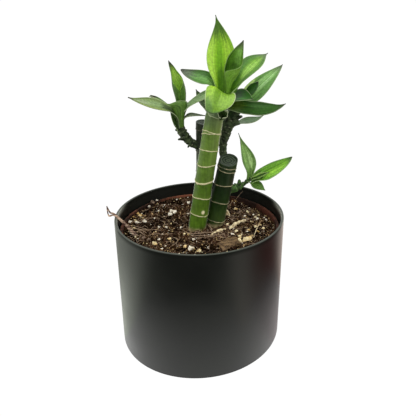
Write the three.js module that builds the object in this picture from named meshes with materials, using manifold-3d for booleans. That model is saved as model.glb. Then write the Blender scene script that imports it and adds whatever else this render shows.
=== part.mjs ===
// Lucky bamboo planted in a nursery pot that stands inside a plain black pot.
// Millimetres, +Z up. The origin is the middle of the black pot's underside.
// -Y is the front: the side with the curled front leaf.
import * as THREE from 'three';
import { mergeVertices } from 'three/addons/utils/BufferGeometryUtils.js';
import Module from 'manifold-3d';

const wasm = await Module();
wasm.setup();

// Clearance between pieces that touch on the real plant.
const GAP = 0.3;

// Black outer pot: a straight, very slightly tapered cylinder with a closed floor.
const POT_HEIGHT = 108.4;
const POT_RIM_RADIUS = 67.5;
const POT_FOOT_RADIUS = 66.6;
const POT_WALL = 2.2;
const POT_FLOOR = 3;
const POT_EDGE = 0.7;

// Nursery pot: thin terracotta-coloured plastic with a rolled lip and drain holes.
const GROWER_RIM_Z = 98;
const GROWER_RIM_RADIUS = 63.7;
const GROWER_FOOT_RADIUS = 47;
const GROWER_WALL = 1;
const GROWER_LIP_DROP = 9;
const GROWER_LIP_OUT = 1;
const DRAIN_HOLES = 6;
const DRAIN_RADIUS = 4;
const DRAIN_CIRCLE = 32;

// Potting mix, with its hummocks and the white perlite grains that show in it.
const SOIL_Z = 96.9;
const SOIL_MOUND = 2.1;
const SOIL_RELIEF = 0.55;
const HUMMOCKS = [
  { share: 1, along: [0.31, 0.12, 0], across: [-0.09, 0.27, 1.57] },
  { share: 0.6, along: [0.63, -0.41, 1.3], across: [0.33, 0.52, 0.4] },
];
const SOIL_RINGS = 12;
const SOIL_SIDES = 44;
const PERLITE_GRAINS = 56;
const PERLITE_SMALL = 1.3;
const PERLITE_LARGE = 2.8;
const RANDOM_SEED = 20817;

// Canes: each stands on the line of its axis and carries rings where leaves once grew.
const CANES = {
  main_cane: {
    axis: [[-9.8, -8, 60], [-2, -8, 100], [4.3, -8, 160], [14, -7.5, 207]],
    rings: [112.5, 126.8, 141, 154, 164.7, 178.5],
    radius: 7,
    crownZ: 190,
    crownRadius: 3,
  },
  dark_cane: {
    axis: [[6.5, -1, 60], [7.8, -1.2, 88], [13.5, -1.5, 112], [22.6, -1.5, 158]],
    rings: [104, 120, 135, 147, 149.4],
    radius: 7.4,
    cut: { at: [21.7, -1.5, 154.4], normal: [0.05, -0.36, 0.93] },
  },
  rear_cane: {
    axis: [[2.6, 11, 60], [2.6, 11, 100], [2.8, 11, 140], [3, 11, 190]],
    rings: [108, 124, 141, 158, 176],
    radius: 6.2,
    cut: { at: [3, 11, 181.5], normal: [0.05, -0.1, 1] },
  },
};
const RING_HEIGHT = 0.45;
const RING_SPREAD = 1.3;
const CANE_SIDES = 16;
const CANE_SEARCH_STEPS = 400;

// Side shoots: woody stems that sprout from a cane, thick where old leaves have dropped.
const SHOOTS = {
  right_shoot_stem: {
    axis: [[19.5, 3.5, 145], [15.5, 11.5, 168], [19, 9, 178], [30, 6.5, 198]],
    radii: [2.6, 2.8, 3.2, 4.5, 5.4, 4.2, 2.2],
    scars: 9,
  },
  left_shoot_stem: {
    axis: [[3.5, 10.5, 160.5], [-12, 8, 166], [-16.5, 6.5, 176], [-15.3, 7.5, 188]],
    radii: [3.4, 3.2, 3.2, 3.6, 3.3, 2, 1.5],
    scars: 8,
  },
  small_shoot_stem: {
    axis: [[18.5, 0, 128.5], [31, 4, 128], [34, 5, 131], [41, 4.5, 136]],
    radii: [3.2, 3.3, 3.2, 2.6, 1.6, 1.4, 1.2],
    scars: 6,
  },
};
const SCAR_HEIGHT = 0.4;
const SHOOT_SIDES = 10;
const SHOOT_ROWS = 18;
const BUD = { at: [31, 3.5, 133.5], radius: 1.7 };

// Leaves. The spine runs from the sheath at the stem to the tip as a cubic curve. The facing
// directions say where the upper face looks at the base, half way and at the tip. Width is the
// blade's and neck the sheath's, both laid flat, and roll the degrees that sheath and blade
// curl round. Sheath and widest are shares of the length, a larger taper draws the tip out
// more finely, and wave is the height of the ripple at the edges.
// A leaf that curls more freely has tables instead, with rows of place along the leaf and
// value: where its face looks, its flat width, the degrees it is rolled through, and how far
// the spine lies inside the roll, from 0 on the blade to 1 at the roll's centre.
// The leaf that arches over forwards is a smooth sheet held by four rows of four points.
const LEAF_THICKNESS = 0.8;
const NECK_FADE = 0.35;
const ROLL_FADE = 0.25;
const RIPPLE_ALONG = 7;
const RIPPLE_ACROSS = 2.2;
const LEAF_ROWS = 10;
const LEAF_COLUMNS = 4;
const SHEET_HALF_WIDTH = 11;
const LEAVES = {
  top_leaf_folded: {
    spine: [[21, -6.2, 204.9], [20, -5.8, 221], [26, -6.3, 230], [31.2, -10.8, 246.9]],
    facings: [[0, [-1, 0.1, 0]], [0.4, [-1, 0, 0]], [0.66, [-0.4, -1, 0.1]], [1, [-0.5, -1, 0.3]]],
    rolls: [[0, 340], [0.4, 338], [0.66, 170], [0.78, 115], [1, 70]],
    widths: [
      [0, 7.5], [0.12, 8.5], [0.22, 13.5], [0.32, 21], [0.45, 28.5],
      [0.6, 20.5], [0.74, 13], [0.88, 6.5], [1, 0.8],
    ],
    hollow: [[0, 1], [0.45, 1], [0.62, 0.8], [0.8, 0.1], [1, 0]],
    wave: 0.2, rows: 12, columns: 8,
  },
  top_leaf_upright: {
    spine: [[16.5, -2.5, 202], [15.5, 1, 224], [17.5, 3, 243.5], [12.2, 7, 262.2]],
    facing: [[0.1, -1, 0], [0, -1, 0.1], [-0.1, -1, 0.2]],
    width: 21.6, neck: 15, roll: [200, 45], sheath: 0.12, widest: 0.44, taper: 1.6, wave: 0.5,
  },
  top_leaf_right: {
    spine: [[21.5, -6, 200], [29, -5, 219], [37.5, 2, 228], [51.5, 10, 235.6]],
    facing: [[-1, -0.3, 0.2], [-0.6, -0.7, 0.7], [-0.4, -0.7, 0.9]],
    width: 19.2, neck: 16, roll: [180, 50], sheath: 0.18, widest: 0.62, taper: 1.5, wave: 0.5,
  },
  top_leaf_left: {
    spine: [[8.5, -3, 196.5], [15.5, -1, 224], [1.5, 3, 213.8], [-13.5, 8, 222.6]],
    facing: [[1, -0.2, 0], [0.4, -0.8, 0.5], [0.1, -0.8, 0.6]],
    width: 13.8, neck: 14, roll: [180, 40], sheath: 0.2, widest: 0.34, taper: 0.65, wave: 0.4,
  },
  top_leaf_front: {
    net: [
      [[10.5, -11, 208], [13.5, -12, 206.5], [17.5, -12, 205], [21.5, -11, 207]],
      [[4, -16, 226], [14.5, -18, 234], [16.5, -19, 206.5], [27.5, -15, 216]],
      [[2.5, -34, 206.5], [7.5, -36, 204.5], [18.5, -37, 207.5], [27, -33, 205]],
      [[4.6, -31, 201.5], [7.5, -33, 198], [12, -34, 199.5], [17, -33, 202.5]],
    ],
    rows: 12, columns: 8,
  },
  top_leaf_back_left: {
    spine: [[7.5, -1, 188.5], [6.5, 3, 198.5], [0.5, 7, 200.5], [-2.6, 12, 207]],
    facing: [[0.7, -0.7, 0], [0.4, -0.8, 0.4], [0.3, -0.8, 0.4]],
    width: 9, neck: 10, roll: [120, 40], sheath: 0.15, widest: 0.4, taper: 1.2, wave: 0.2,
  },
  right_leaf_large: {
    spine: [[29.5, 9.5, 194], [38.5, 10, 202], [51.5, 17, 212], [65.9, 26, 224.8]],
    facing: [[-0.3, -1, 0.3], [-0.5, -0.8, 0.7], [-0.5, -0.7, 0.8]],
    width: 17.2, neck: 14, roll: [180, 45], sheath: 0.12, widest: 0.44, taper: 0.86, wave: 0.5,
  },
  right_leaf_low: {
    spine: [[19, -2, 195.5], [31, -2, 199.2], [50, -6, 190.5], [63.6, -10, 201.5]],
    facings: [[0, [-0.4, -0.4, 0.8]], [0.5, [-0.1, -0.6, 0.8]], [1, [0, -0.6, 0.8]]],
    rolls: [[0, 130], [0.25, 80], [0.5, 45], [1, 40]],
    widths: [
      [0, 10], [0.14, 14], [0.3, 14], [0.45, 12.6], [0.6, 13.2], [0.78, 9.6], [0.9, 4.6], [1, 0.8],
    ],
    hollow: [[0, 0], [1, 0]],
    wave: 0.5,
  },
  right_leaf_young: {
    spine: [[32, 6.5, 198], [36, 4.5, 205.5], [43.5, 3.5, 210.5], [44, 3, 215.6]],
    facing: [[-0.7, -0.6, 0.4], [-0.7, -0.6, 0.4], [-0.7, -0.6, 0.4]],
    width: 9.5, neck: 9, roll: [200, 90], sheath: 0.2, widest: 0.5, taper: 1.1, wave: 0.1,
  },
  right_leaf_front: {
    spine: [[22.5, 0, 200.5], [26.5, -3.5, 205], [32.5, -8.5, 206], [38.6, -12.5, 205]],
    facings: [[0, [0, -0.3, 1]], [0.5, [0, -0.5, 1]], [1, [-0.1, -0.5, 0.9]]],
    rolls: [[0, 150], [0.4, 80], [1, 50]],
    widths: [[0, 12], [0.3, 18], [0.55, 16.5], [0.8, 9], [1, 0.8]],
    hollow: [[0, 0], [1, 0]],
    wave: 0.3,
  },
  right_leaf_small: {
    spine: [[27.5, 9.5, 179.5], [35.5, 12, 183], [42.5, 17, 180], [51.9, 24, 183.9]],
    facing: [[-0.3, -0.3, 1], [0, -0.4, 0.9], [0, -0.5, 0.8]],
    width: 8.6, neck: 4, roll: [90, 50], sheath: 0.1, widest: 0.42, taper: 1.3, wave: 0.2,
  },
  left_leaf_upright: {
    spine: [[-16, 9, 185.5], [-10.5, 9, 203.5], [-17.8, 8, 217], [-22.2, 6, 229.3]],
    facings: [[0, [0, -1, 0]], [0.45, [0.1, -1, 0]], [0.75, [0.6, -1, 0.2]], [1, [0.6, -1, 0.3]]],
    rolls: [[0, 350], [0.44, 350], [0.54, 290], [0.64, 200], [0.76, 140], [1, 80]],
    widths: [
      [0, 14], [0.25, 22], [0.44, 27.5], [0.54, 22.5], [0.64, 13.6], [0.76, 7], [0.87, 4], [1, 0.8],
    ],
    hollow: [[0, 1], [0.45, 1], [0.7, 0.5], [0.9, 0], [1, 0]],
    wave: 0.2, rows: 12, columns: 8,
  },
  left_leaf_level: {
    spine: [[-17.5, 6, 180], [-16, 2, 198.5], [-29.5, -6, 196], [-49.8, -14, 206.2]],
    facing: [[1, -0.2, 0.2], [0.3, -0.6, 0.9], [0.1, -0.6, 0.9]],
    width: 11, neck: 10, roll: [170, 55], sheath: 0.25, widest: 0.62, taper: 1.5, wave: 0.3,
  },
  left_leaf_curled: {
    spine: [[-15, 3, 179.5], [-19.5, 1.5, 190], [-21.5, 5, 197.5], [-37.5, 14, 201]],
    facings: [[0, [1, 0.3, 0]], [0.4, [1, 0.3, 0]], [0.58, [0.6, 0.4, 0.9]], [1, [0, -0.3, 1]]],
    rolls: [[0, 300], [0.42, 290], [0.56, 170], [0.7, 120], [1, 160]],
    widths: [
      [0, 9], [0.2, 18], [0.42, 36], [0.5, 25], [0.58, 9], [0.7, 5], [0.9, 4.4], [1, 2.6],
    ],
    hollow: [[0, 0], [1, 0]],
    wave: 0.1, rows: 12, columns: 8,
  },
  left_leaf_inner: {
    spine: [[-13.5, 5, 183.5], [-12.5, 4, 197.5], [-4, 1, 198.5], [10.5, -3, 209]],
    facings: [[0, [-1, -0.2, 0.2]], [0.5, [-0.5, -0.5, 0.8]], [1, [-0.3, -0.5, 0.9]]],
    rolls: [[0, 170], [0.4, 110], [1, 60]],
    widths: [[0, 6], [0.25, 6], [0.45, 5.6], [0.7, 8.5], [0.85, 10], [1, 6]],
    hollow: [[0, 0], [1, 0]],
    wave: 0.2,
  },
  left_leaf_tucked: {
    spine: [[-17.2, 4, 177], [-18.8, 3, 182], [-20.4, 2, 187], [-21.6, 1.5, 192]],
    facing: [[1, -0.2, 0.2], [0.9, -0.5, 0.2], [0.9, -0.5, 0.2]],
    width: 6, neck: 5, roll: [120, 60], sheath: 0.15, widest: 0.4, taper: 1.2, wave: 0.1,
  },
  left_leaf_small: {
    spine: [[-12.5, 5, 183.5], [-11, 3, 189.5], [-6, 1, 190], [4.5, 2, 189]],
    facings: [[0, [-1, 0.3, 0.3]], [0.5, [-0.2, -0.4, 1]], [1, [0.1, -0.4, 1]]],
    rolls: [[0, 120], [1, 60]],
    widths: [[0, 4], [0.25, 4.4], [0.5, 5.4], [0.75, 3.6], [1, 0.8]],
    hollow: [[0, 0], [1, 0]],
    wave: 0.2,
  },
  small_leaf_upright: {
    spine: [[39.5, 7, 133.5], [43.5, 9, 148.5], [36, 11, 156.5], [30.5, 14, 171.8]],
    facing: [[-0.3, -1, 0], [-0.2, -1, 0.1], [-0.3, -1, 0.1]],
    width: 11.2, neck: 8, roll: [200, 50], sheath: 0.12, widest: 0.38, taper: 1.7, wave: 0.3,
  },
  small_leaf_right: {
    spine: [[41.5, 3.5, 132.5], [53, 2, 143.5], [65.5, -3, 148], [70.9, -9, 158.9]],
    facing: [[-0.5, -0.5, 0.8], [-0.4, -0.7, 0.8], [-0.4, -0.7, 0.8]],
    width: 13.8, neck: 8, roll: [180, 45], sheath: 0.12, widest: 0.3, taper: 0.65, wave: 0.4,
  },
  small_leaf_rolled: {
    spine: [[41.5, 2.2, 135.8], [45, 0.5, 139], [50, 0, 141.5], [54.6, -0.5, 143.2]],
    facing: [[-0.4, -0.6, 0.8], [-0.4, -0.7, 0.8], [-0.4, -0.7, 0.8]],
    width: 5, neck: 5, roll: [220, 120], sheath: 0.2, widest: 0.4, taper: 1.2, wave: 0.1,
  },
  small_leaf_drooping: {
    spine: [[40, 1.6, 131.5], [42.5, -1, 132], [47, -4, 131.5], [51, -7, 130.3]],
    facing: [[-0.2, -0.2, 1], [0.1, -0.6, 0.8], [0.1, -0.7, 0.7]],
    width: 7.6, neck: 6, roll: [120, 50], sheath: 0.12, widest: 0.42, taper: 1.2, wave: 0.2,
  },
};

// Loose bits that lie bedded in the top of the soil.
const BARK_CHIP = {
  at: [20.8, -35.2, 96.8],
  size: [16, 8, 3.6],
  turn: 24,
  tilt: [8, -7],
  narrowing: 0.3,
  thinning: 0.25,
  bend: 0.6,
};
const STICK_BOW = [0.5, -1, 0.2];
const STICK_LUMPS = { size: 0.25, count: 9 };
const STICKS = {
  stick_front: { from: [7.5, -19.5, 97.4], to: [19.5, -12.5, 98], radius: 0.9 },
  stick_right: { from: [22.5, -10.5, 97.2], to: [36.6, 2, 97.6], radius: 1 },
};

// Dry roots that have come up at the pot's left side and hang over both rims.
const DRY_ROOTS = {
  bundle: [
    [-50.5, -14, 98], [-57.5, -6, 101.5], [-66.5, -4.5, 110.4], [-70.5, -2.5, 111.5], [-73, -1.5, 117],
  ],
  strands: [
    { spread: [0, 0, 0], ends: [0, 0, 0], radius: 1.2 },
    { spread: [-0.8, 1.6, 0.3], ends: [2.5, 3, -2.5], radius: 0.7 },
    { spread: [0.4, -1.4, 0.5], ends: [1.2, -2, 3], radius: 0.6 },
    { spread: [0.4, 0.8, 1], ends: [4, -2.4, -3.6], radius: 0.5 },
  ],
  taper: 0.5,
};

const SHELL_SIDES = 52;
const DEGREES = Math.PI / 180;

// Seeded random numbers from 0 to 1, the same on every run.
function seededRandom(seed) {
  let state = seed;
  return () => {
    state = (state * 1664525 + 1013904223) % 4294967296;
    return state / 4294967296;
  };
}

function smoothstep(from, to, value) {
  return THREE.MathUtils.smoothstep(value, from, to);
}

function vector(list) {
  return new THREE.Vector3(...list);
}

function cubicCurve(points) {
  return new THREE.CubicBezierCurve3(...points.map(vector));
}

// A closed geometry as a solid that can be joined and cut.
function toSolid(geometry) {
  const bare = geometry.clone();
  bare.deleteAttribute('normal');
  bare.deleteAttribute('uv');
  const merged = mergeVertices(bare, 1e-3);
  return new wasm.Manifold(new wasm.Mesh({
    numProp: 3,
    vertProperties: merged.attributes.position.array,
    triVerts: new Uint32Array(merged.index.array),
  }));
}

function toGeometry(solid) {
  const mesh = solid.getMesh();
  const geometry = new THREE.BufferGeometry();
  geometry.setAttribute('position', new THREE.BufferAttribute(mesh.vertProperties, 3));
  geometry.setIndex(new THREE.BufferAttribute(mesh.triVerts, 1));
  geometry.computeVertexNormals();
  return geometry;
}

// What is left of a solid clear of its neighbours, without any loose scrap.
function clearOf(solid, neighbours) {
  let rest = solid;
  for (const neighbour of neighbours) {
    rest = rest.subtract(neighbour);
  }
  const pieces = rest.decompose();
  pieces.sort((one, other) => other.volume() - one.volume());
  return pieces[0];
}

// A round shape turned about the Z axis from (radius, height) points.
function turned(points, sides) {
  const outline = points.map(([radius, height]) => new THREE.Vector2(radius, height));
  return new THREE.LatheGeometry(outline, sides).rotateX(Math.PI / 2);
}

// A round bar that follows a curve, with its radius given along the way.
function roundBar(curve, radiusAt, sides, stations) {
  const bar = new THREE.CylinderGeometry(1, 1, 1, sides, stations.length - 1);
  const position = bar.attributes.position;
  const reference = new THREE.Vector3(0, -1, 0);
  for (let i = 0; i < position.count; i += 1) {
    const row = Math.round((position.getY(i) + 0.5) * (stations.length - 1));
    const along = stations[row];
    const tangent = curve.getTangent(along);
    const side = new THREE.Vector3().crossVectors(reference, tangent).normalize();
    const front = new THREE.Vector3().crossVectors(tangent, side);
    const radius = radiusAt(along);
    const point = curve.getPoint(along)
      .addScaledVector(side, position.getX(i) * radius)
      .addScaledVector(front, -position.getZ(i) * radius);
    position.setXYZ(i, point.x, point.y, point.z);
  }
  return bar;
}

function evenStations(rows) {
  return Array.from({ length: rows + 1 }, (_, row) => row / rows);
}

// Outer pot

function outerPot() {
  const inner = POT_RIM_RADIUS - POT_WALL;
  const innerFoot = POT_FOOT_RADIUS - POT_WALL;
  return toSolid(turned([
    [0, 0],
    [POT_FOOT_RADIUS - POT_EDGE, 0],
    [POT_FOOT_RADIUS, POT_EDGE],
    [POT_RIM_RADIUS, POT_HEIGHT - POT_EDGE],
    [POT_RIM_RADIUS - POT_EDGE, POT_HEIGHT],
    [inner + POT_EDGE, POT_HEIGHT],
    [inner, POT_HEIGHT - POT_EDGE],
    [innerFoot, POT_FLOOR],
    [0, POT_FLOOR],
  ], SHELL_SIDES));
}

// Nursery pot

function growerRadiusAt(height) {
  const foot = POT_FLOOR + GAP;
  const share = (height - foot) / (GROWER_RIM_Z - foot);
  const shoulder = GROWER_RIM_RADIUS - GROWER_LIP_OUT;
  return THREE.MathUtils.lerp(GROWER_FOOT_RADIUS, shoulder, share);
}

function growerPot() {
  const foot = POT_FLOOR + GAP;
  const lipFoot = GROWER_RIM_Z - GROWER_LIP_DROP;
  const shell = toSolid(turned([
    [0, foot],
    [GROWER_FOOT_RADIUS, foot],
    [growerRadiusAt(lipFoot), lipFoot],
    [GROWER_RIM_RADIUS, lipFoot + GROWER_LIP_OUT],
    [GROWER_RIM_RADIUS, GROWER_RIM_Z],
    [growerRadiusAt(GROWER_RIM_Z) - GROWER_WALL, GROWER_RIM_Z],
    [GROWER_FOOT_RADIUS - GROWER_WALL, foot + GROWER_WALL],
    [0, foot + GROWER_WALL],
  ], SHELL_SIDES));
  const holes = [];
  for (let hole = 0; hole < DRAIN_HOLES; hole += 1) {
    const angle = (hole / DRAIN_HOLES) * 2 * Math.PI;
    const drill = new THREE.CylinderGeometry(DRAIN_RADIUS, DRAIN_RADIUS, 4 * GROWER_WALL, 12)
      .rotateX(Math.PI / 2)
      .translate(DRAIN_CIRCLE * Math.cos(angle), DRAIN_CIRCLE * Math.sin(angle), foot);
    holes.push(toSolid(drill));
  }
  return clearOf(shell, holes);
}

// Soil

function soilHeight(x, y) {
  const radius = Math.hypot(x, y);
  const mound = SOIL_MOUND * (1 - smoothstep(0, GROWER_RIM_RADIUS, radius));
  const swellOf = ([perX, perY, start]) => Math.sin(perX * x + perY * y + start);
  let hummocks = 0;
  for (const { share, along, across } of HUMMOCKS) {
    hummocks += share * swellOf(along) * swellOf(across);
  }
  return SOIL_Z + mound + SOIL_RELIEF * hummocks;
}

function soilGround() {
  const foot = POT_FLOOR + GAP + GROWER_WALL + GAP;
  const inset = GROWER_WALL + GAP;
  const edge = growerRadiusAt(SOIL_Z) - inset;
  const profile = [[0, foot], [growerRadiusAt(foot) - inset, foot], [edge, SOIL_Z]];
  for (let ring = SOIL_RINGS - 1; ring >= 0; ring -= 1) {
    profile.push([edge * ring / SOIL_RINGS, SOIL_Z]);
  }
  const ground = turned(profile, SOIL_SIDES);
  const position = ground.attributes.position;
  for (let i = 0; i < position.count; i += 1) {
    const x = position.getX(i);
    const y = position.getY(i);
    const onTop = position.getZ(i) > SOIL_Z - 0.5;
    const inside = Math.hypot(x, y) < edge - 0.5;
    if (onTop && inside) {
      position.setZ(i, soilHeight(x, y));
    }
  }
  return toSolid(ground);
}

// White grains sit half sunk in the soil, all over it but not under the canes.
function perliteGrains() {
  const random = seededRandom(RANDOM_SEED);
  const reach = growerRadiusAt(SOIL_Z) - GROWER_WALL - 2 * PERLITE_LARGE;
  const nearest = 0.06;
  const grains = [];
  for (let grain = 0; grain < PERLITE_GRAINS; grain += 1) {
    const angle = random() * 2 * Math.PI;
    const radius = reach * Math.sqrt(THREE.MathUtils.lerp(nearest, 1, random()));
    const size = THREE.MathUtils.lerp(PERLITE_SMALL, PERLITE_LARGE, random() ** 2);
    const x = radius * Math.cos(angle);
    const y = radius * Math.sin(angle);
    const lump = new THREE.OctahedronGeometry(size)
      .scale(1, 0.7 + 0.3 * random(), 0.75)
      .rotateZ(random() * Math.PI)
      .rotateX(random() * 0.6)
      .translate(x, y, soilHeight(x, y) + 0.2 * size);
    grains.push(toSolid(lump));
  }
  return wasm.Manifold.union(grains);
}

// Canes

function nearestRing(rings, height) {
  return Math.min(...rings.map((ring) => Math.abs(height - ring)));
}

function caneRadius(cane, height) {
  const ridge = Math.max(0, 1 - nearestRing(cane.rings, height) / RING_SPREAD);
  let radius = cane.radius + RING_HEIGHT * ridge;
  if (cane.crownZ) {
    const share = smoothstep(cane.crownZ, cane.axis[3][2], height);
    radius = THREE.MathUtils.lerp(radius, cane.crownRadius, share);
  }
  return radius;
}

// Places along a cane's curve: its ends, each ring with both of its feet, and a few between.
function caneStations(cane, curve) {
  const low = cane.axis[0][2];
  const high = cane.axis[3][2];
  const heights = [low, (low + cane.rings[0]) / 2, high];
  if (cane.crownZ) {
    heights.push((cane.crownZ + high) / 2);
  }
  for (const ring of cane.rings) {
    heights.push(ring - RING_SPREAD, ring, ring + RING_SPREAD);
  }
  const stations = heights.map((height) => {
    let best = 0;
    let nearest = Infinity;
    for (let step = 0; step <= CANE_SEARCH_STEPS; step += 1) {
      const along = step / CANE_SEARCH_STEPS;
      const miss = Math.abs(curve.getPoint(along).z - height);
      if (miss < nearest) {
        nearest = miss;
        best = along;
      }
    }
    return best;
  });
  return [...new Set(stations)].sort((one, other) => one - other);
}

function caneSolid(cane, swell = 0) {
  const curve = cubicCurve(cane.axis);
  const radiusAt = (along) => caneRadius(cane, curve.getPoint(along).z) + swell;
  const stations = caneStations(cane, curve);
  let solid = toSolid(roundBar(curve, radiusAt, CANE_SIDES, stations));
  if (cane.cut) {
    const normal = vector(cane.cut.normal).normalize();
    const offset = normal.dot(vector(cane.cut.at)) + swell;
    solid = solid.trimByPlane(normal.clone().negate().toArray(), -offset);
  }
  return solid;
}

// Shoot stems

function shootSolid(shoot, swell = 0) {
  const curve = cubicCurve(shoot.axis);
  const last = shoot.radii.length - 1;
  const radiusAt = (along) => {
    const place = Math.min(along * last, last - 1e-6);
    const below = Math.floor(place);
    const radius = THREE.MathUtils.lerp(shoot.radii[below], shoot.radii[below + 1], place - below);
    const scar = (along * shoot.scars) % 1;
    return radius + SCAR_HEIGHT * (scar - 0.5) + swell;
  };
  return toSolid(roundBar(curve, radiusAt, SHOOT_SIDES, evenStations(SHOOT_ROWS)));
}

function budSolid() {
  const bud = new THREE.OctahedronGeometry(BUD.radius, 1).scale(0.8, 0.8, 1.3);
  return toSolid(bud.translate(...BUD.at));
}

// Leaves

// The value at a place along the leaf, on a smooth curve through a table of places and values.
function eased(table, along) {
  const last = table.length - 1;
  let row = 0;
  while (row < last - 1 && along > table[row + 1][0]) {
    row += 1;
  }
  const [placeBefore, valueBefore] = table[Math.max(row - 1, 0)];
  const [place, value] = table[row];
  const [nextPlace, nextValue] = table[row + 1];
  const [placeAfter, valueAfter] = table[Math.min(row + 2, last)];
  const length = nextPlace - place;
  const slopeIn = length * (nextValue - valueBefore) / (nextPlace - placeBefore);
  const slopeOut = length * (valueAfter - value) / (placeAfter - place);
  const t = (along - place) / length;
  return value * (2 * t ** 3 - 3 * t ** 2 + 1)
    + slopeIn * (t ** 3 - 2 * t ** 2 + t)
    + nextValue * (3 * t ** 2 - 2 * t ** 3)
    + slopeOut * (t ** 3 - t ** 2);
}

// Half the width of the leaf laid flat: the sheath's neck runs out into a lance-shaped blade.
function leafHalfWidth(leaf, along) {
  if (leaf.widths) {
    return Math.max(eased(leaf.widths, along), LEAF_THICKNESS) / 2;
  }
  const blade = Math.max(0, (along - leaf.sheath / 2) / (1 - leaf.sheath / 2));
  const rise = leaf.taper * leaf.widest / (1 - leaf.widest);
  const lance = (blade / leaf.widest) ** rise * ((1 - blade) / (1 - leaf.widest)) ** leaf.taper;
  const neck = 1 - smoothstep(leaf.sheath * 0.6, leaf.sheath + NECK_FADE, along);
  const sum = (lance * leaf.width / 2) ** 3 + (neck * leaf.neck / 2) ** 3;
  return Math.max(Math.cbrt(sum), LEAF_THICKNESS / 2);
}

function leafRoll(leaf, along) {
  if (leaf.rolls) {
    return eased(leaf.rolls, along) * DEGREES;
  }
  const open = smoothstep(leaf.sheath * 0.5, leaf.sheath + ROLL_FADE, along);
  return THREE.MathUtils.lerp(leaf.roll[0], leaf.roll[1], open) * DEGREES;
}

function leafFacing(leaf, along) {
  if (leaf.facing) {
    return new THREE.QuadraticBezierCurve3(...leaf.facing.map(vector)).getPoint(along);
  }
  const part = (axis) => eased(leaf.facings.map(([place, way]) => [place, way[axis]]), along);
  return new THREE.Vector3(part(0), part(1), part(2));
}

// A point of the leaf's middle surface: along runs 0 to 1, across -1 to 1.
function rolledPoint(leaf, curve, along, across, swell) {
  const tangent = curve.getTangent(along);
  const facing = leafFacing(leaf, along);
  facing.addScaledVector(tangent, -facing.dot(tangent)).normalize();
  const side = new THREE.Vector3().crossVectors(tangent, facing);
  const roll = leafRoll(leaf, along);
  const radius = 2 * (leafHalfWidth(leaf, along) + swell) / roll;
  const angle = across * roll / 2;
  const hollow = leaf.hollow ? eased(leaf.hollow, along) : 0;
  const ripple = Math.sin(RIPPLE_ALONG * along + RIPPLE_ACROSS * across);
  const wave = leaf.wave * across ** 2 * ripple;
  return curve.getPoint(along)
    .addScaledVector(side, radius * Math.sin(angle))
    .addScaledVector(facing, radius * (1 - Math.cos(angle) - hollow) + wave);
}

// The same for the arched sheet, which swells by reaching a little past its edges.
function sheetPoint(leaf, along, across, swell) {
  const reach = 1 + swell / SHEET_HALF_WIDTH;
  const share = (1 - across * reach) / 2;
  const rows = leaf.net.map((row) => cubicCurve(row).getPoint(share).toArray());
  return cubicCurve(rows).getPoint(0.5 + (along - 0.5) * reach);
}

// The blade is one grid laid out twice, half the thickness to either side of the middle
// surface, so that both faces split into triangles alike. A strip round the edge closes it.
function leafSolid(leaf, swell = 0) {
  const curve = leaf.spine ? cubicCurve(leaf.spine) : null;
  const at = (along, across) => (leaf.net
    ? sheetPoint(leaf, along, across, swell)
    : rolledPoint(leaf, curve, along, across, swell));
  const offset = LEAF_THICKNESS / 2 + swell;
  const rows = leaf.rows ?? LEAF_ROWS;
  const cells = leaf.columns ?? LEAF_COLUMNS;
  const columns = cells + 1;
  const count = columns * (rows + 1);
  const points = new Float32Array(2 * count * 3);
  const step = 0.01;
  for (let row = 0; row <= rows; row += 1) {
    for (let column = 0; column < columns; column += 1) {
      const along = row / rows;
      const across = 2 * column / cells - 1;
      const lengthwise = at(Math.min(along + step, 1), across)
        .sub(at(Math.max(along - step, 0), across));
      const crosswise = at(along, across + step).sub(at(along, across - step));
      const normal = crosswise.cross(lengthwise).normalize();
      const middle = at(along, across);
      const index = row * columns + column;
      middle.clone().addScaledVector(normal, offset).toArray(points, 3 * index);
      middle.clone().addScaledVector(normal, -offset).toArray(points, 3 * (index + count));
    }
  }
  const faces = [];
  for (let row = 0; row < rows; row += 1) {
    for (let column = 0; column < cells; column += 1) {
      const a = row * columns + column;
      const b = a + 1;
      const c = a + columns;
      const d = c + 1;
      faces.push(a, b, d, a, d, c);
      faces.push(a + count, d + count, b + count, a + count, c + count, d + count);
    }
  }
  for (const [from, to] of edgePairs(rows, cells)) {
    faces.push(from, from + count, to + count, from, to + count, to);
  }
  const geometry = new THREE.BufferGeometry();
  geometry.setAttribute('position', new THREE.BufferAttribute(points, 3));
  geometry.setIndex(faces);
  return toSolid(geometry);
}

// Neighbouring grid points round the edge of a leaf, in order.
function edgePairs(rows, cells) {
  const columns = cells + 1;
  const ring = [];
  for (let column = 0; column < cells; column += 1) {
    ring.push(column);
  }
  for (let row = 0; row < rows; row += 1) {
    ring.push(row * columns + cells);
  }
  for (let column = cells; column > 0; column -= 1) {
    ring.push(rows * columns + column);
  }
  for (let row = rows; row > 0; row -= 1) {
    ring.push(row * columns);
  }
  return ring.map((from, place) => [from, ring[(place + 1) % ring.length]]);
}

// Loose bits on the soil

function barkSolid(swell = 0) {
  const [length, width, thickness] = BARK_CHIP.size;
  const chip = new THREE.BoxGeometry(
    length + 2 * swell, width + 2 * swell, thickness + 2 * swell, 3, 2, 1,
  );
  const position = chip.attributes.position;
  for (let i = 0; i < position.count; i += 1) {
    const x = position.getX(i);
    const y = position.getY(i);
    const narrow = 1 - BARK_CHIP.narrowing * Math.abs(x) / length;
    const thin = 1 - BARK_CHIP.thinning * Math.abs(y) / width;
    const bend = BARK_CHIP.bend * Math.sin(2 * Math.PI * x / length);
    position.setY(i, y * narrow + bend);
    position.setZ(i, position.getZ(i) * thin);
  }
  chip.rotateX(BARK_CHIP.tilt[0] * DEGREES).rotateY(BARK_CHIP.tilt[1] * DEGREES);
  chip.rotateZ(BARK_CHIP.turn * DEGREES).translate(...BARK_CHIP.at);
  return toSolid(chip);
}

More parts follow.
